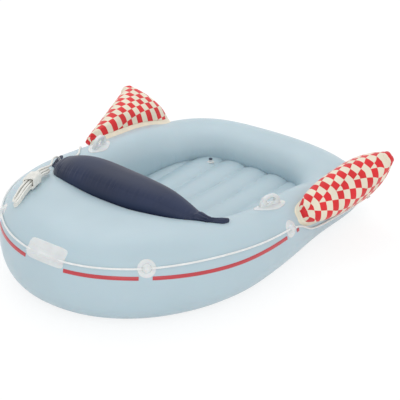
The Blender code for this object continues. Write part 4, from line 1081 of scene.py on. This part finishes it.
class FLOAT_OT_fins(FloatOperator):
    """Makes the two chequered fins with their ridge seams and cream bands."""
    bl_idname = "float_looks.fins"
    bl_label = "Tail fins"
    levels = 96
    sides = 192
    seam_reach = 0.020
    seam_depth = 0.0010
    seam_width = 0.0025
    row_ease = 1.3
    print_slope = 1 / 3
    print_start = 0.281
    print_rise_share = 0.37
    corner_cut = 0.022
    cap_rows = 10
    cap_share = 0.30
    band_overlap = 0.0009
    dent_rise = 0.030
    dent_depth = 0.010
    dent_reach = 0.016
    star_height = 0.0022
    star_folds = 11
    star_radius = 0.020
    star_reach = 0.014
    # Size of the band's outline in shares, and its height over the skin in metres
    band_profile = ((0.80, -0.003), (1.055, -0.002), (1.060, 0.0002), (1.055, 0.0016), (1.020, 0.0022),
                    (1.004, 0.0050), (1.006, 0.0110), (1.004, 0.0170), (0.996, 0.0205), (0.985, 0.0222),
                    (0.90, 0.0222), (0.80, 0.0222))

    def make(self):
        """Both fins."""
        tree = tree_of(frame["nodes"]["hull_ring"])
        for side, suffix in ((1, "port"), (-1, "starboard")):
            self.make_fin(tree, side, suffix)

    def fin_frame(self, side, suffix):
        """Foot middle, axes and length of a fin: along runs aft, normal up the fin."""
        power = stepped(SQUARE_STEP_SHARES, aft_share(FIN_FRONT_T))
        foot_angle = math.asin(signed_power(FIN_FOOT_SHARE, 1 / power))
        front = hull_point(FIN_FRONT_T, foot_angle)
        rear = hull_point(FIN_REAR_TS[suffix], foot_angle)
        along = (rear - front).normalized()
        lean = math.radians(FIN_LEAN_DEGREES[suffix])
        outward = Vector((along.y, -along.x, 0.0)).normalized()
        normal = outward * math.sin(lean) + Vector((0.0, 0.0, math.cos(lean)))
        normal = (normal - along * normal.dot(along)).normalized()
        across = along.cross(normal).normalized()
        middle = (front + rear) / 2
        axes = (middle, across, along, normal)
        if side < 0:
            axes = tuple(Vector((-v.x, v.y, v.z)) for v in axes)
        return axes, (rear - front).length

    def foot_outline(self, angle, length):
        """Place on the foot's outline, a little narrower at the front."""
        x, y = oval(angle, FIN_FOOT_WIDTH / 2, length / 2, FIN_FOOT_ROUND_SHARE)
        return x * (FIN_FRONT_WIDTH_SHARE + (1 - FIN_FRONT_WIDTH_SHARE) * (y / length + 0.5)), y

    def width(self, rise):
        """Width of the fin at a share of its height."""
        if rise < FIN_SWELL_SHARE:
            swell = math.sin(math.pi / 2 * rise / FIN_SWELL_SHARE)
            return FIN_FOOT_WIDTH + (FIN_SWELL_WIDTH - FIN_FOOT_WIDTH) * swell
        fall = (rise - FIN_SWELL_SHARE) / (1 - FIN_SWELL_SHARE)
        return FIN_TIP_WIDTH + (FIN_SWELL_WIDTH - FIN_TIP_WIDTH) * (1 - fall * fall)

    def make_fin(self, tree, side, suffix):
        """One fin and its band."""
        axes, length = self.fin_frame(side, suffix)
        middle, across, along, normal = axes
        full_height = FIN_HEIGHTS[suffix]
        peak_y = (FIN_PEAK_SHARES[suffix] - 0.5) * length
        feet = []
        for k in range(self.sides + 1):
            x, y = self.foot_outline(math.tau * k / self.sides, length)
            feet.append((x, y, (skin_point(tree, axes, x, y) - middle).dot(normal)))
        lift = FIN_BAND_HEIGHT + self.band_overlap
        nose_share = FIN_NOSE_HEIGHT / full_height
        body_rows = self.levels - self.cap_rows
        grid = []
        flat = []
        for i in range(self.levels + 1):
            part = min(i / body_rows, 1.0)
            rise = 1 - (1 - part) ** self.row_ease
            climb = max(rise - nose_share / 2, 0.0) / (1 - nose_share / 2)
            fore = -length / 2 + (peak_y - FIN_TIP_LENGTH / 2 + length / 2) * climb
            aft = length / 2 - (length / 2 - peak_y - FIN_TIP_LENGTH / 2) * rise
            turn = math.pi / 2 * max(i - body_rows, 0) / self.cap_rows
            shrink = math.cos(turn)
            top = FIN_TIP_WIDTH * self.cap_share * math.sin(turn)
            girth = self.width(rise) / 2 * (1 - smooth_step(0.84, 1.0, rise))
            ring = []
            flat_row = []
            for x, y, drop in feet:
                place_y = fore + (aft - fore) * (y / length + 0.5)
                place_y = (fore + aft) / 2 + (place_y - (fore + aft) / 2) * shrink
                place_x = x * self.width(rise) / FIN_FOOT_WIDTH * shrink
                height = full_height * rise + drop * (1 - rise) + lift * (1 - rise) + top
                ring.append(Vector((place_x, place_y, height)))
                level = Vector((place_x, place_y, full_height * rise + lift * (1 - rise) + top))
                flat_row.append(self.panel_place(level, girth, length, peak_y, full_height))
            grid.append(ring)
            flat.append(flat_row)
        shaped = self.relief(grid, full_height, 60.0 if side > 0 else 70.0)

        def place(u, v):
            """Point of the fin, in the frame of its foot."""
            point = shaped[round(u * self.levels)][round(v * self.sides) % self.sides]
            return middle + across * point.x + along * point.y + normal * point.z

        bm = wrapped_grid(self.levels, self.sides, place,
                          lambda u, v: flat[round(u * self.levels)][round(v * self.sides)])
        fin = piece("fin_pad_" + suffix, bm, check_finish(), nodes=("fin_" + suffix,))
        self.make_band(tree, axes, length, suffix)

    def panel_place(self, point, half_width, length, peak_y, full_height):
        """Place on the flat panel, rolled out from the ridge seam and on past the rear seam's curve."""
        nose = Vector((-length / 2, FIN_NOSE_HEIGHT / 2))
        peak = Vector((peak_y, full_height))
        ridge = (peak - nose).normalized()
        rear = (Vector((length / 2, 0.0)) - peak).normalized()
        here = Vector((point.y, point.z))
        inward = Vector((ridge.y, -ridge.x))
        beyond = self.rolled(point.x, (here - nose).dot(inward), half_width)
        flat = nose + ridge * (here - nose).dot(ridge) + inward * beyond
        inward = Vector((rear.y, -rear.x))
        depth = (here - peak).dot(inward)
        spare = half_width * (math.pi / 2 - 1)
        flat += inward * (self.rolled(point.x, depth, half_width) - max(depth, 0.0) - spare)
        for corner in (nose, peak):
            flat.y -= self.corner_cut * math.exp(-((here - corner).length / (2 * self.corner_cut)) ** 2)
        slope = math.atan(self.print_slope)
        turned = Matrix.Rotation(slope - math.atan2(ridge.y, ridge.x), 2) @ (flat - peak)
        check = sizes().check
        start = Vector((math.cos(slope), math.sin(slope))) * self.print_start
        return turned.x + start.x + check, turned.y + start.y + check * self.print_rise_share

    def rolled(self, x, depth, half_width):
        """Length over the skin from a seam to a place at a depth behind it."""
        depth = max(depth, 0.0)
        return half_width * math.atan2(abs(x), max(half_width - depth, 0.0)) + max(depth - half_width, 0.0)

    def relief(self, grid, full_height, seed):
        """The fin's points with seam folds, a drawn-in front corner and soft waves."""
        shaped = []
        rows = len(grid)
        quarter = self.sides // 4
        corner = grid[0][3 * quarter] + Vector((0.0, 0.0, self.dent_rise))
        for i, ring in enumerate(grid):
            out_ring = []
            for k in range(self.sides):
                here = ring[k]
                above = grid[min(i + 1, rows - 1)][k]
                below = grid[max(i - 1, 0)][k]
                along = ring[(k + 1) % self.sides] - ring[k - 1]
                normal = along.cross(above - below)
                if normal.length < 1e-9:
                    out_ring.append(here)
                    continue
                normal.normalize()
                if normal.dot(here - Vector((0.0, here.y * 0.6, full_height * 0.35))) < 0:
                    normal = -normal
                lift = slow_wave(here, seed)
                for index, mark in ((0, quarter), (1, 3 * quarter)):
                    off = (here - ring[mark]).length
                    run = here.z if index == 0 else here.y + here.z
                    fold = pucker(run, off, seed + index, reach=self.seam_reach, pitch=0.010)
                    lift += fold * 0.9 - self.seam_depth * math.exp(-(off / self.seam_width) ** 2)
                foot = here.z - grid[0][k].z
                lift += pucker(here.y + here.x, foot, seed + 5, reach=0.012, pitch=0.010) * 0.5
                away = (here - corner).length
                lift -= self.dent_depth * math.exp(-(away / self.dent_reach) ** 2)
                spin = math.atan2(here.z - corner.z, here.x)
                fade = math.exp(-((away - self.star_radius) / self.star_reach) ** 2)
                lift += self.star_height * math.sin(spin * self.star_folds) * fade
                out_ring.append(here + normal * lift)
            shaped.append(out_ring)
        return shaped

    def make_band(self, tree, axes, length, suffix):
        """Cream band round the foot with its weld flange on the hull."""
        profile = self.band_profile
        rows = len(profile)

        def place(u, v):
            """Point of the band; its ends grow twice as far as its sides."""
            scale, height = profile[round(u * rows) % rows]
            x, y = self.foot_outline(math.tau * (v % 1.0), length)
            reach = (scale - 1.0) * FIN_FOOT_WIDTH * math.copysign(min(2 * abs(y) / length, 1.0), y)
            return skin_point(tree, axes, x * scale, y + reach) + axes[3] * height

        finish = plain_finish("cream_vinyl", roughness=0.42, coat=0.15)
        piece("fin_band_skin_" + suffix, wrapped_grid(rows, 160, place), finish,
              nodes=("fin_band_" + suffix,))


def draped_disc(tree, axes, outline, profile, sides):
    """Closed pad on a skin: the profile gives size shares and heights, or height functions, rim first."""
    rows = len(profile)

    def place(u, v):
        """Point of the pad; its last row meets in the middle."""
        scale, height = profile[min(round(u * rows), rows - 1)] if u < 1.0 else (0.0, profile[-1][1])
        x, y = outline(math.tau * (v % 1.0))
        x, y = x * scale, y * scale
        return skin_point(tree, axes, x, y) + axes[3] * (height(x, y) if callable(height) else height)

    return wrapped_grid(rows, sides, place)


def skin_tree():
    """Search tree of the dressed hull."""
    return tree_of(bpy.data.objects["hull_skin"])


class FLOAT_OT_line(FloatOperator):
    """Makes the grab line, the eyelets that hold it and the bow patch that sleeves it."""
    bl_idname = "float_looks.line"
    bl_label = "Grab line and patches"
    boss_fade = 2.2
    patch_fade = 1.25
    lip_gap = 0.0016
    lip_roll = 0.0013
    lip_place_share = 0.92
    patch_edge = 0.0016
    patch_swell = 0.0012
    patch_ridge = 0.0097
    patch_rim = 0.010

    def make(self):
        """The line, six eyelets and the nose patch."""
        tree = skin_tree()
        path = smooth_path(self.line_path(), step=0.004, closed=True)
        bm = tube(path, LINE_DIAMETER / 2, sides=14, closed=True)
        finish = braid_finish("white_cord", LINE_DIAMETER, strands=4.0, slope=0.35)
        piece("grab_line_cord", bm, finish, nodes=("grab_line",))
        for name, t in eyelet_ts():
            self.make_eyelet(tree, name, t)
        self.make_nose_patch(tree)

    def line_path(self):
        """Centre line of the grab line, lifted through the eyelets and the nose patch."""
        held = [(line_point(t), EYELET_BOSS_DIAMETER / 2, self.boss_fade) for _, t in eyelet_ts()]
        held.append((line_point(0.0), NOSE_PATCH_LENGTH / 2, self.patch_fade))
        lie = LINE_DIAMETER / 2 + LIE_GAP
        points = []
        count = PLAN_SPANS * 20
        for i in range(count):
            t = PLAN_SPANS * i / count
            here, _, _, normal = side_frame(t, line_share(t))
            lift = lie
            for middle, reach, fade in held:
                near = smooth_step(fade * reach, reach, (here - middle).length)
                lift = max(lift, lie + (TUNNEL_LIFT - lie) * near)
            points.append(here + normal * lift)
        return points

    def make_eyelet(self, tree, name, t):
        """Round patch with a welded rim and a raised boss with a sleeve for the line."""
        axes = side_frame(t, line_share(t))
        half = EYELET_DIAMETER / 2
        boss = EYELET_BOSS_DIAMETER / 2

        def dome(x, y):
            """Height of the boss, or of the patch beside it."""
            spread = math.hypot(x, y) / boss
            return max(EYELET_THICKNESS, EYELET_BOSS_HEIGHT * math.sqrt(max(1 - spread ** 3, 0.0)))

        shares = [1.0 - 0.5 * k / 12 for k in range(1, 13)] + [0.5 * (1 - k / 16) for k in range(1, 16)]
        profile = [(0.97, -0.0025), (1.0, -0.0005), (1.0, 0.0012), (0.985, 0.0019)]
        for share in shares:
            rim_weld = 0.0006 * math.exp(-((share - 0.90) / 0.03) ** 2)
            profile.append((share, EYELET_THICKNESS + rim_weld if share > 0.56 else dome))
        bm = self.collars(axes, boss)
        absorb(bm, draped_disc(tree, axes, lambda a: oval(a, half, half), profile, 64))
        piece(name + "_patch", bm, trim_finish(), nodes=(name,))

    def collars(self, axes, boss):
        """Rolled lips where the line enters and leaves the boss."""
        middle, across, along, normal = axes
        bm = bmesh.new()
        for side in (-1, 1):
            centre = middle + along * (side * boss * self.lip_place_share) + normal * TUNNEL_LIFT

            def place(u, v):
                """Point of a lip; u runs round the line, v round the roll."""
                ring, roll = math.tau * u, math.tau * v
                wide = LINE_DIAMETER / 2 + self.lip_gap + self.lip_roll * math.cos(roll)
                spoke = across * math.cos(ring) + normal * math.sin(ring)
                return centre + spoke * wide + along * (self.lip_roll * math.sin(roll))

            absorb(bm, wrapped_grid(24, 10, place))
        return bm

    def make_nose_patch(self, tree):
        """Rounded patch over the line at the bow."""
        here, across, along, normal = side_frame(0.0, line_share(0.0))
        axes = (here + across * NOSE_PATCH_RISE, across, along, normal)
        half_width, half_length = NOSE_PATCH_WIDTH / 2, NOSE_PATCH_LENGTH / 2

        def height(x, y):
            """Height over the skin: a thin edge, a soft swell and a ridge over the line."""
            ridge = math.exp(-((x + NOSE_PATCH_RISE) / (LINE_DIAMETER * 1.15)) ** 2)
            rim = min((half_width - abs(x)) / self.patch_rim, (half_length - abs(y)) / self.patch_rim, 1.0)
            swell = math.sqrt(max(1 - (1 - max(rim, 0.0)) ** 2, 0.0))
            grain = 0.0003 * noise.noise(Vector((x, y, 0.0)) * 60)
            return self.patch_edge + self.patch_swell * swell + self.patch_ridge * ridge + grain

        profile = [(0.97, -0.0025), (1.0, -0.0005), (1.0, 0.0010)]
        profile += [(1 - k / 40, height) for k in range(1, 40)]
        bm = draped_disc(tree, axes, lambda a: oval(a, half_width, half_length, 0.30), profile, 192)
        piece("nose_patch_skin", bm, trim_finish(), nodes=("nose_patch",))


class FLOAT_OT_stripes(FloatOperator):
    """Makes the red tape along the side."""
    bl_idname = "float_looks.stripes"
    bl_label = "Side stripe"

    def make(self):
        """One tape for each stretch between patches."""
        breaks = [self.gap_round(0.0, NOSE_PATCH_LENGTH / 2 + STRIPE_END_GAP)]
        for name, t in eyelet_ts():
            if not name.startswith("eyelet_stern"):
                below = (line_point(t) - side_frame(t, STRIPE_HEIGHT_SHARE)[0]).length
                nearest = min(max(below - STRIPE_WIDTH / 2, 0.0), EYELET_DIAMETER / 2)
                half = math.sqrt((EYELET_DIAMETER / 2) ** 2 - nearest ** 2) + 2 * STRIPE_END_GAP
                breaks.append(self.gap_round(t, half))
        breaks.append([STRIPE_AFT_T, PLAN_SPANS - STRIPE_AFT_T])
        breaks.sort()
        total = len(breaks)
        for index in range(total):
            first, last = breaks[index][1], breaks[(index + 1) % total][0]
            if last < first:
                last += PLAN_SPANS
            self.make_tape(index + 1, first, last)

    def gap_round(self, t, half):
        """Places where the tape stops before a patch and starts again past it."""
        return [walk(t, half, side, lambda _: STRIPE_HEIGHT_SHARE) for side in (-1, 1)]

    def make_tape(self, number, first, last):
        """Thin tape with soft edges that follows the skin."""
        half = STRIPE_WIDTH / 2
        thick = STRIPE_THICKNESS + SEAT_GAP
        profile = ((-half, -0.002), (-half, thick * 0.7), (-half * 0.9, thick), (0.0, thick * 1.05),
                   (half * 0.9, thick), (half, thick * 0.7), (half, -0.002))
        rows = len(profile)
        steps = max(8, round((last - first) * 60))

        def place(u, v):
            """Point of the tape; u runs along it, v round its section."""
            t = first + (last - first) * u
            rise, out = profile[round(v * rows) % rows]
            angle = side_angle(t, STRIPE_HEIGHT_SHARE)
            reach = (hull_point(t, angle + 0.01) - hull_point(t, angle - 0.01)).length / 0.02
            skin, normal, _ = hull_frame(t, angle + rise / reach)
            return skin + normal * (out + slow_wave(skin, HULL_WAVE_SEED))

        bm = wrapped_grid(steps, rows, place)
        ends = [edge for edge in bm.edges if edge.is_boundary]
        bmesh.ops.holes_fill(bm, edges=ends, sides=0)
        bmesh.ops.recalc_face_normals(bm, faces=bm.faces)
        piece("stripe_tape_%d" % number, bm, plain_finish("red_tape", roughness=0.34, coat=0.3),
              nodes=("side_stripe_%d" % number,))


class FLOAT_OT_rowlocks(FloatOperator):
    """Makes the welded oar rests."""
    bl_idname = "float_looks.rowlocks"
    bl_label = "Rowlocks"

    def make(self):
        """Foot and lug on each side."""
        tree = skin_tree()
        profile = [(0.96, -0.0025), (1.0, -0.0005), (1.0, 0.0014), (0.98, 0.0022)]
        shares = [1 - k / 14 for k in range(1, 14)]
        profile += [(share, 0.0024 + 0.0040 * (1 - share * share)) for share in shares]
        for side, suffix in ((1, "port"), (-1, "starboard")):
            axes = self.axes(side)
            rest = draped_disc(tree, axes, self.foot_outline, profile, 96)
            absorb(rest, self.lug(axes))
            piece("oar_rest_" + suffix, rest, trim_finish(), nodes=("rowlock_" + suffix,))

    def foot_outline(self, angle):
        """Place on the pointed oval of the welded foot."""
        return oval(angle, ROWLOCK_WIDTH / 2, ROWLOCK_LENGTH / 2, 1.25)

    def axes(self, side):
        """Middle and axes on the crest of a side tube, turned a little outboard going aft."""
        here, normal, along = hull_frame(ROWLOCK_T, math.pi / 2)
        outboard = along.cross(normal).normalized()
        if outboard.x < 0:
            outboard = -outboard
        turn = math.radians(ROWLOCK_TURN_DEGREES)
        along = (along * math.cos(turn) + outboard * math.sin(turn)).normalized()
        across = normal.cross(along).normalized()
        axes = (here, across, along, normal)
        return axes if side > 0 else tuple(Vector((-v.x, v.y, v.z)) for v in axes)

    def lug(self, axes):
        """Standing lug with a long eye and a rounded section."""
        middle, across, along, normal = axes

        def place(u, v):
            """Point of the lug; u runs round the eye, v round the section."""
            ring, turn = math.tau * u, math.tau * v
            wide, deep = oval(turn, 0.5, ROWLOCK_LUG_DEPTH / 2, 0.62)
            rise = math.sin(ring)
            lift = ROWLOCK_LUG_HEIGHT * rise ** 0.85 if rise > 0 else ROWLOCK_LUG_ROOT * rise
            outer = along * (ROWLOCK_LUG_LENGTH / 2 * signed_power(math.cos(ring), 0.85)) + normal * lift
            inner = (along * (ROWLOCK_HOLE_LENGTH / 2 * math.cos(ring))
                     + normal * (ROWLOCK_HOLE_HEIGHT + ROWLOCK_HOLE_WIDTH / 2 * rise))
            return middle + inner.lerp(outer, 0.5 + wide) + across * deep

        return wrapped_grid(72, 28, place)


class FLOAT_OT_valves(FloatOperator):
    """Makes the five inflation valves and their plugs."""
    bl_idname = "float_looks.valves"
    bl_label = "Valves"

    def make(self):
        """A stem and a plug at each plug's axis."""
        for joint in frame["joints"]:
            name = joint["child"][len("plug_"):]
            normal = Vector(joint["axis"]).normalized()
            seat = self.seat(frame["nodes"]["plug_" + name], normal)
            self.make_plug(name, seat, normal)
            self.make_stem(name, seat, normal)

    def seat(self, plug, normal):
        """Middle of the head's underside: the plug's axis, at the pin's root."""
        points = [vert.co.copy() for vert in plug.data.vertices]
        heights = [p.dot(normal) for p in points]
        low, high = min(heights), max(heights)
        tip = [p for p, h in zip(points, heights) if h < low + 0.0002]
        top = [p for p, h in zip(points, heights) if h > high - 0.0002]
        middle = (sum(tip, Vector()) / len(tip) + sum(top, Vector()) / len(top)) / 2
        return middle + normal * (high - PLUG_HEAD_HEIGHT - middle.dot(normal))

    def turned(self, seat, normal, profile):
        """Solid of revolution from places out and up, closed at both ends."""
        across = normal.orthogonal().normalized()
        along = normal.cross(across)
        rows = len(profile) - 1

        def place(u, v):
            """Point of a ring of the profile."""
            radius, height = profile[round(u * rows)]
            angle = math.tau * (v % 1.0)
            return seat + (across * math.cos(angle) + along * math.sin(angle)) * radius + normal * height

        return wrapped_grid(rows, 40, place)

    def make_plug(self, name, seat, normal):
        """Cap with a rolled edge and a tapered pin."""
        head = PLUG_HEAD_DIAMETER / 2
        pin = VALVE_BORE_DIAMETER / 2 - FIT_GAP
        full = PLUG_HEAD_HEIGHT
        profile = ((0.0, -PLUG_PIN_LENGTH), (pin * 0.75, -PLUG_PIN_LENGTH),
                   (pin * 0.95, -PLUG_PIN_LENGTH * 0.93), (pin, -PLUG_PIN_LENGTH * 0.8),
                   (pin * 0.96, -0.001), (pin, 0.0), (head * 0.96, 0.0), (head, full * 0.15),
                   (head, full * 0.55), (head * 0.95, full * 0.80), (head * 0.85, full * 0.93),
                   (head * 0.70, full), (head * 0.62, full * 0.82), (0.0, full * 0.78))
        # Painted shade: the floor's cap takes the dark navy film in place of the milky moulding.
        finish = navy_finish() if name == "floor" else valve_finish()
        piece("cap_" + name, self.turned(seat, normal, profile), finish,
              body="plug_" + name, nodes=("plug_" + name,), sharp=38.0)

    def make_stem(self, name, seat, normal):
        """Flange, stem and bore under the plug."""
        stem = VALVE_STEM_DIAMETER / 2
        bore = VALVE_BORE_DIAMETER / 2
        flange = VALVE_FLANGE_DIAMETER / 2
        top = -FIT_GAP
        skin = top - VALVE_STEM_HEIGHT
        floor = top - VALVE_BORE_DEPTH
        profile = ((0.0, skin - 0.004), (flange * 0.9, skin - 0.004), (flange, skin - 0.001),
                   (flange, skin + 0.0010), (flange * 0.96, skin + 0.0015), (stem * 1.30, skin + 0.0017),
                   (stem * 1.08, skin + 0.0026), (stem, skin + 0.0045), (stem, top - 0.0016),
                   (stem * 1.06, top - 0.0012), (stem * 1.06, top - 0.0004), (stem * 0.97, top),
                   (bore + 0.0004, top), (bore, top - 0.0004), (bore, floor), (0.0, floor))
        piece("stem_" + name, self.turned(seat, normal, profile), valve_finish(), nodes=("valve_" + name,),
              sharp=38.0)


class FLOAT_OT_tow_line(FloatOperator):
    """Makes the tow line: its lead, its hank and the turns round the hank's waist."""
    bl_idname = "float_looks.tow_line"
    bl_label = "Tow line"

    def make(self):
        """One rope from the quarter eyelet to its bare end."""
        self.trees = [tree_of(frame["nodes"][name]) for name in ("hull_ring", "bolster")]
        loops = self.hank_points()
        turns = self.wrap_points(loops)
        lead = self.lead_points(loops[0], loops[1])
        points = list(reversed(lead)) + loops + turns
        path = smooth_path(points, step=0.0028)
        bm = tube(path, ROPE_DIAMETER / 2, sides=12)
        finish = braid_finish("cream_rope", ROPE_DIAMETER, strands=3.0, slope=0.30)
        rope = piece("tow_rope", bm, finish,
                     nodes=("tow_line_lead", "tow_line_hank", "tow_line_wrap"))
        path_length(path)

    def rest_height(self, x, y):
        """Height of the rope's centre where it rests on the highest skin at a place."""
        radius = TOW_DIAMETER / 2
        reach = radius * math.sqrt(0.5)
        heights = []
        for dx, dy in ((0.0, 0.0), (reach, 0.0), (-reach, 0.0), (0.0, reach), (0.0, -reach)):
            rise = math.sqrt(radius ** 2 - dx * dx - dy * dy)
            for tree in self.trees:
                height = skin_height(tree, x + dx, y + dy)
                if height is not None:
                    heights.append(height + rise)
        return max(heights)

    def hank_axes(self):
        """Fore end, axis, sideways direction and length of the hank, in plan."""
        fore, aft = Vector((*HANK_FORE, 0.0)), Vector((*HANK_AFT, 0.0))
        axis = (aft - fore).normalized()
        return fore, axis, Vector((-axis.y, axis.x, 0.0)), (aft - fore).length

    def hank_lift(self, place, length):
        """How far the hank's underside stands off the deck."""
        wrapped = WRAP_TURNS * WRAP_PITCH / 2
        off = abs(place - length / 2)
        return TOW_LIE_GAP + (TOW_DIAMETER + 2 * WRAP_GAP) * (1 - smooth_step(wrapped, length / 2, off))

    def waist(self, place, length):
        """Share of the hank's width at a place along it."""
        wrapped = WRAP_TURNS * WRAP_PITCH / 2
        off = abs(place - length / 2)
        return HANK_WAIST_SHARE + (1 - HANK_WAIST_SHARE) * smooth_step(wrapped, length / 2 * 0.8, off)

    def hank_points(self):
        """Centre line of the hank's loops."""
        fore, axis, sideways, length = self.hank_axes()
        half_run = (length - TOW_DIAMETER) / 2
        half_fold = HANK_FOLD_DIAMETER / 2
        shift = (HANK_WIDTH - TOW_DIAMETER) / 2 - half_fold
        last_place = -(WRAP_TURNS * WRAP_PITCH / 2 + 2 * TOW_DIAMETER) / half_run
        last_turn = HANK_LOOPS - 1 + (math.tau - math.acos(-last_place ** 2)) / math.tau - HANK_START_SHARE
        count = math.ceil(last_turn * HANK_LOOP_POINTS)
        points = []
        for i in range(count + 1):
            turn = last_turn * i / count
            angle = math.tau * (turn + HANK_START_SHARE)
            place = length / 2 + half_run * signed_power(math.cos(angle), 0.5)
            whole = math.floor(turn)
            climb = smooth_step(0.02, 0.30, turn - whole)
            side = HANK_SIDES[whole] + (HANK_SIDES[whole + 1] - HANK_SIDES[whole]) * climb
            width = half_fold * signed_power(math.sin(angle), 0.75) - shift * side
            point = fore + axis * place + sideways * (width * self.waist(place, length))
            level = HANK_LOOPS - whole - climb
            point.z = self.rest_height(point.x, point.y) + self.hank_lift(place, length) + HANK_STEP * level
            points.append(point)
        return points

    def wrap_points(self, loops):
        """Centre line of the turns wound round the hank's waist."""
        fore, axis, sideways, length = self.hank_axes()
        stack = HANK_STEP * HANK_LOOPS / 2
        half_across = (HANK_WIDTH - TOW_DIAMETER) / 2 * HANK_WAIST_SHARE + TOW_DIAMETER + WRAP_GAP
        half_up = stack + TOW_DIAMETER * 0.75
        turns = []
        for i in range(round(WRAP_TURNS * WRAP_TURN_POINTS) + 1):
            turn = i / WRAP_TURN_POINTS
            angle = math.tau * turn + math.radians(WRAP_START_DEGREES)
            place = length / 2 + WRAP_PITCH * (turn - WRAP_TURNS / 2)
            across = half_across * signed_power(math.cos(angle), WRAP_SQUARE_SHARE)
            point = fore + axis * place + sideways * across
            point.z = self.rest_height(point.x, point.y) + self.hank_lift(length / 2, length) + stack
            point.z += half_up * signed_power(math.sin(angle), WRAP_SQUARE_SHARE)
            turns.append(point)
        direction = (loops[-1] - loops[-2]).normalized()
        start = loops[-1] + direction * TOW_DIAMETER
        return [start] + turns

    def lead_points(self, start, beyond):
        """Centre line from the hank over the bolster's tail to the quarter eyelet."""
        direction = (start - beyond).normalized()
        knots = [start + direction * FIT_GAP, start + direction * (6 * TOW_DIAMETER)]
        for x, y in LEAD_ROUTE:
            knots.append(Vector((x, y, self.rest_height(x, y) + LIE_GAP)))
        t = PLAN_SPANS - EYELET_PLACES[1][1]
        here, across, _, normal = side_frame(t, line_share(t))
        reach = EYELET_BOSS_DIAMETER / 2 + FIT_GAP
        lift = normal * (TUNNEL_LIFT + LIE_GAP)
        knots.append(here + across * (reach + 2 * TOW_DIAMETER) + lift)
        knots.append(here + across * reach + lift)
        points = smooth_path(knots, step=0.012)
        for point in points[4:-4]:
            point.z = max(point.z, self.rest_height(point.x, point.y) + LEAD_LIE_GAP)
        return points[1:]


class FLOAT_OT_trim(FloatOperator):
    """Finishes the flat pieces that keep their own shape."""
    bl_idname = "float_looks.trim"
    bl_label = "Sheet and flange"

    def make(self):
        """Bottom sheet and bolster flange."""
        for node, finish in (("bottom_sheet", vinyl_finish()), ("bolster_flange", trim_finish())):
            mesh = frame["nodes"][node].data
            mesh.materials.clear()
            mesh.materials.append(finish)


class FLOAT_PT_panel(bpy.types.Panel):
    """Lists the float's operators and its settings."""
    bl_idname = "FLOAT_PT_panel"
    bl_label = "Pool float"
    bl_space_type = "VIEW_3D"
    bl_region_type = "UI"
    bl_category = "Float"

    def draw(self, context):
        """Draws the buttons and the settings."""
        column = self.layout.column()
        for operator in OPERATORS:
            column.operator(operator.bl_idname)
        for group in (context.scene.float_colours, context.scene.float_sizes):
            for name in group.bl_rna.properties.keys():
                if name not in ("rna_type", "name"):
                    column.prop(group, name)


OPERATORS = (FLOAT_OT_stage, FLOAT_OT_hull, FLOAT_OT_floor, FLOAT_OT_bolster, FLOAT_OT_fins, FLOAT_OT_line,
             FLOAT_OT_stripes, FLOAT_OT_rowlocks, FLOAT_OT_valves, FLOAT_OT_tow_line, FLOAT_OT_trim)
CLASSES = (FloatColours, FloatSizes) + OPERATORS + (FLOAT_PT_panel,)


def register():
    """Registers the classes and the scene's settings."""
    for known in CLASSES:
        bpy.utils.register_class(known)
    bpy.types.Scene.float_colours = bpy.props.PointerProperty(type=FloatColours)
    bpy.types.Scene.float_sizes = bpy.props.PointerProperty(type=FloatSizes)


def unregister():
    """Removes the classes and the scene's settings."""
    del bpy.types.Scene.float_sizes
    del bpy.types.Scene.float_colours
    for known in reversed(CLASSES):
        bpy.utils.unregister_class(known)


def main():
    """Dresses the float."""
    register()
    bpy.context.scene.view_settings.view_transform = "Standard"
    for operator in OPERATORS:
        getattr(bpy.ops.float_looks, operator.bl_idname.split(".")[1])()


if __name__ == "__main__":
    main()
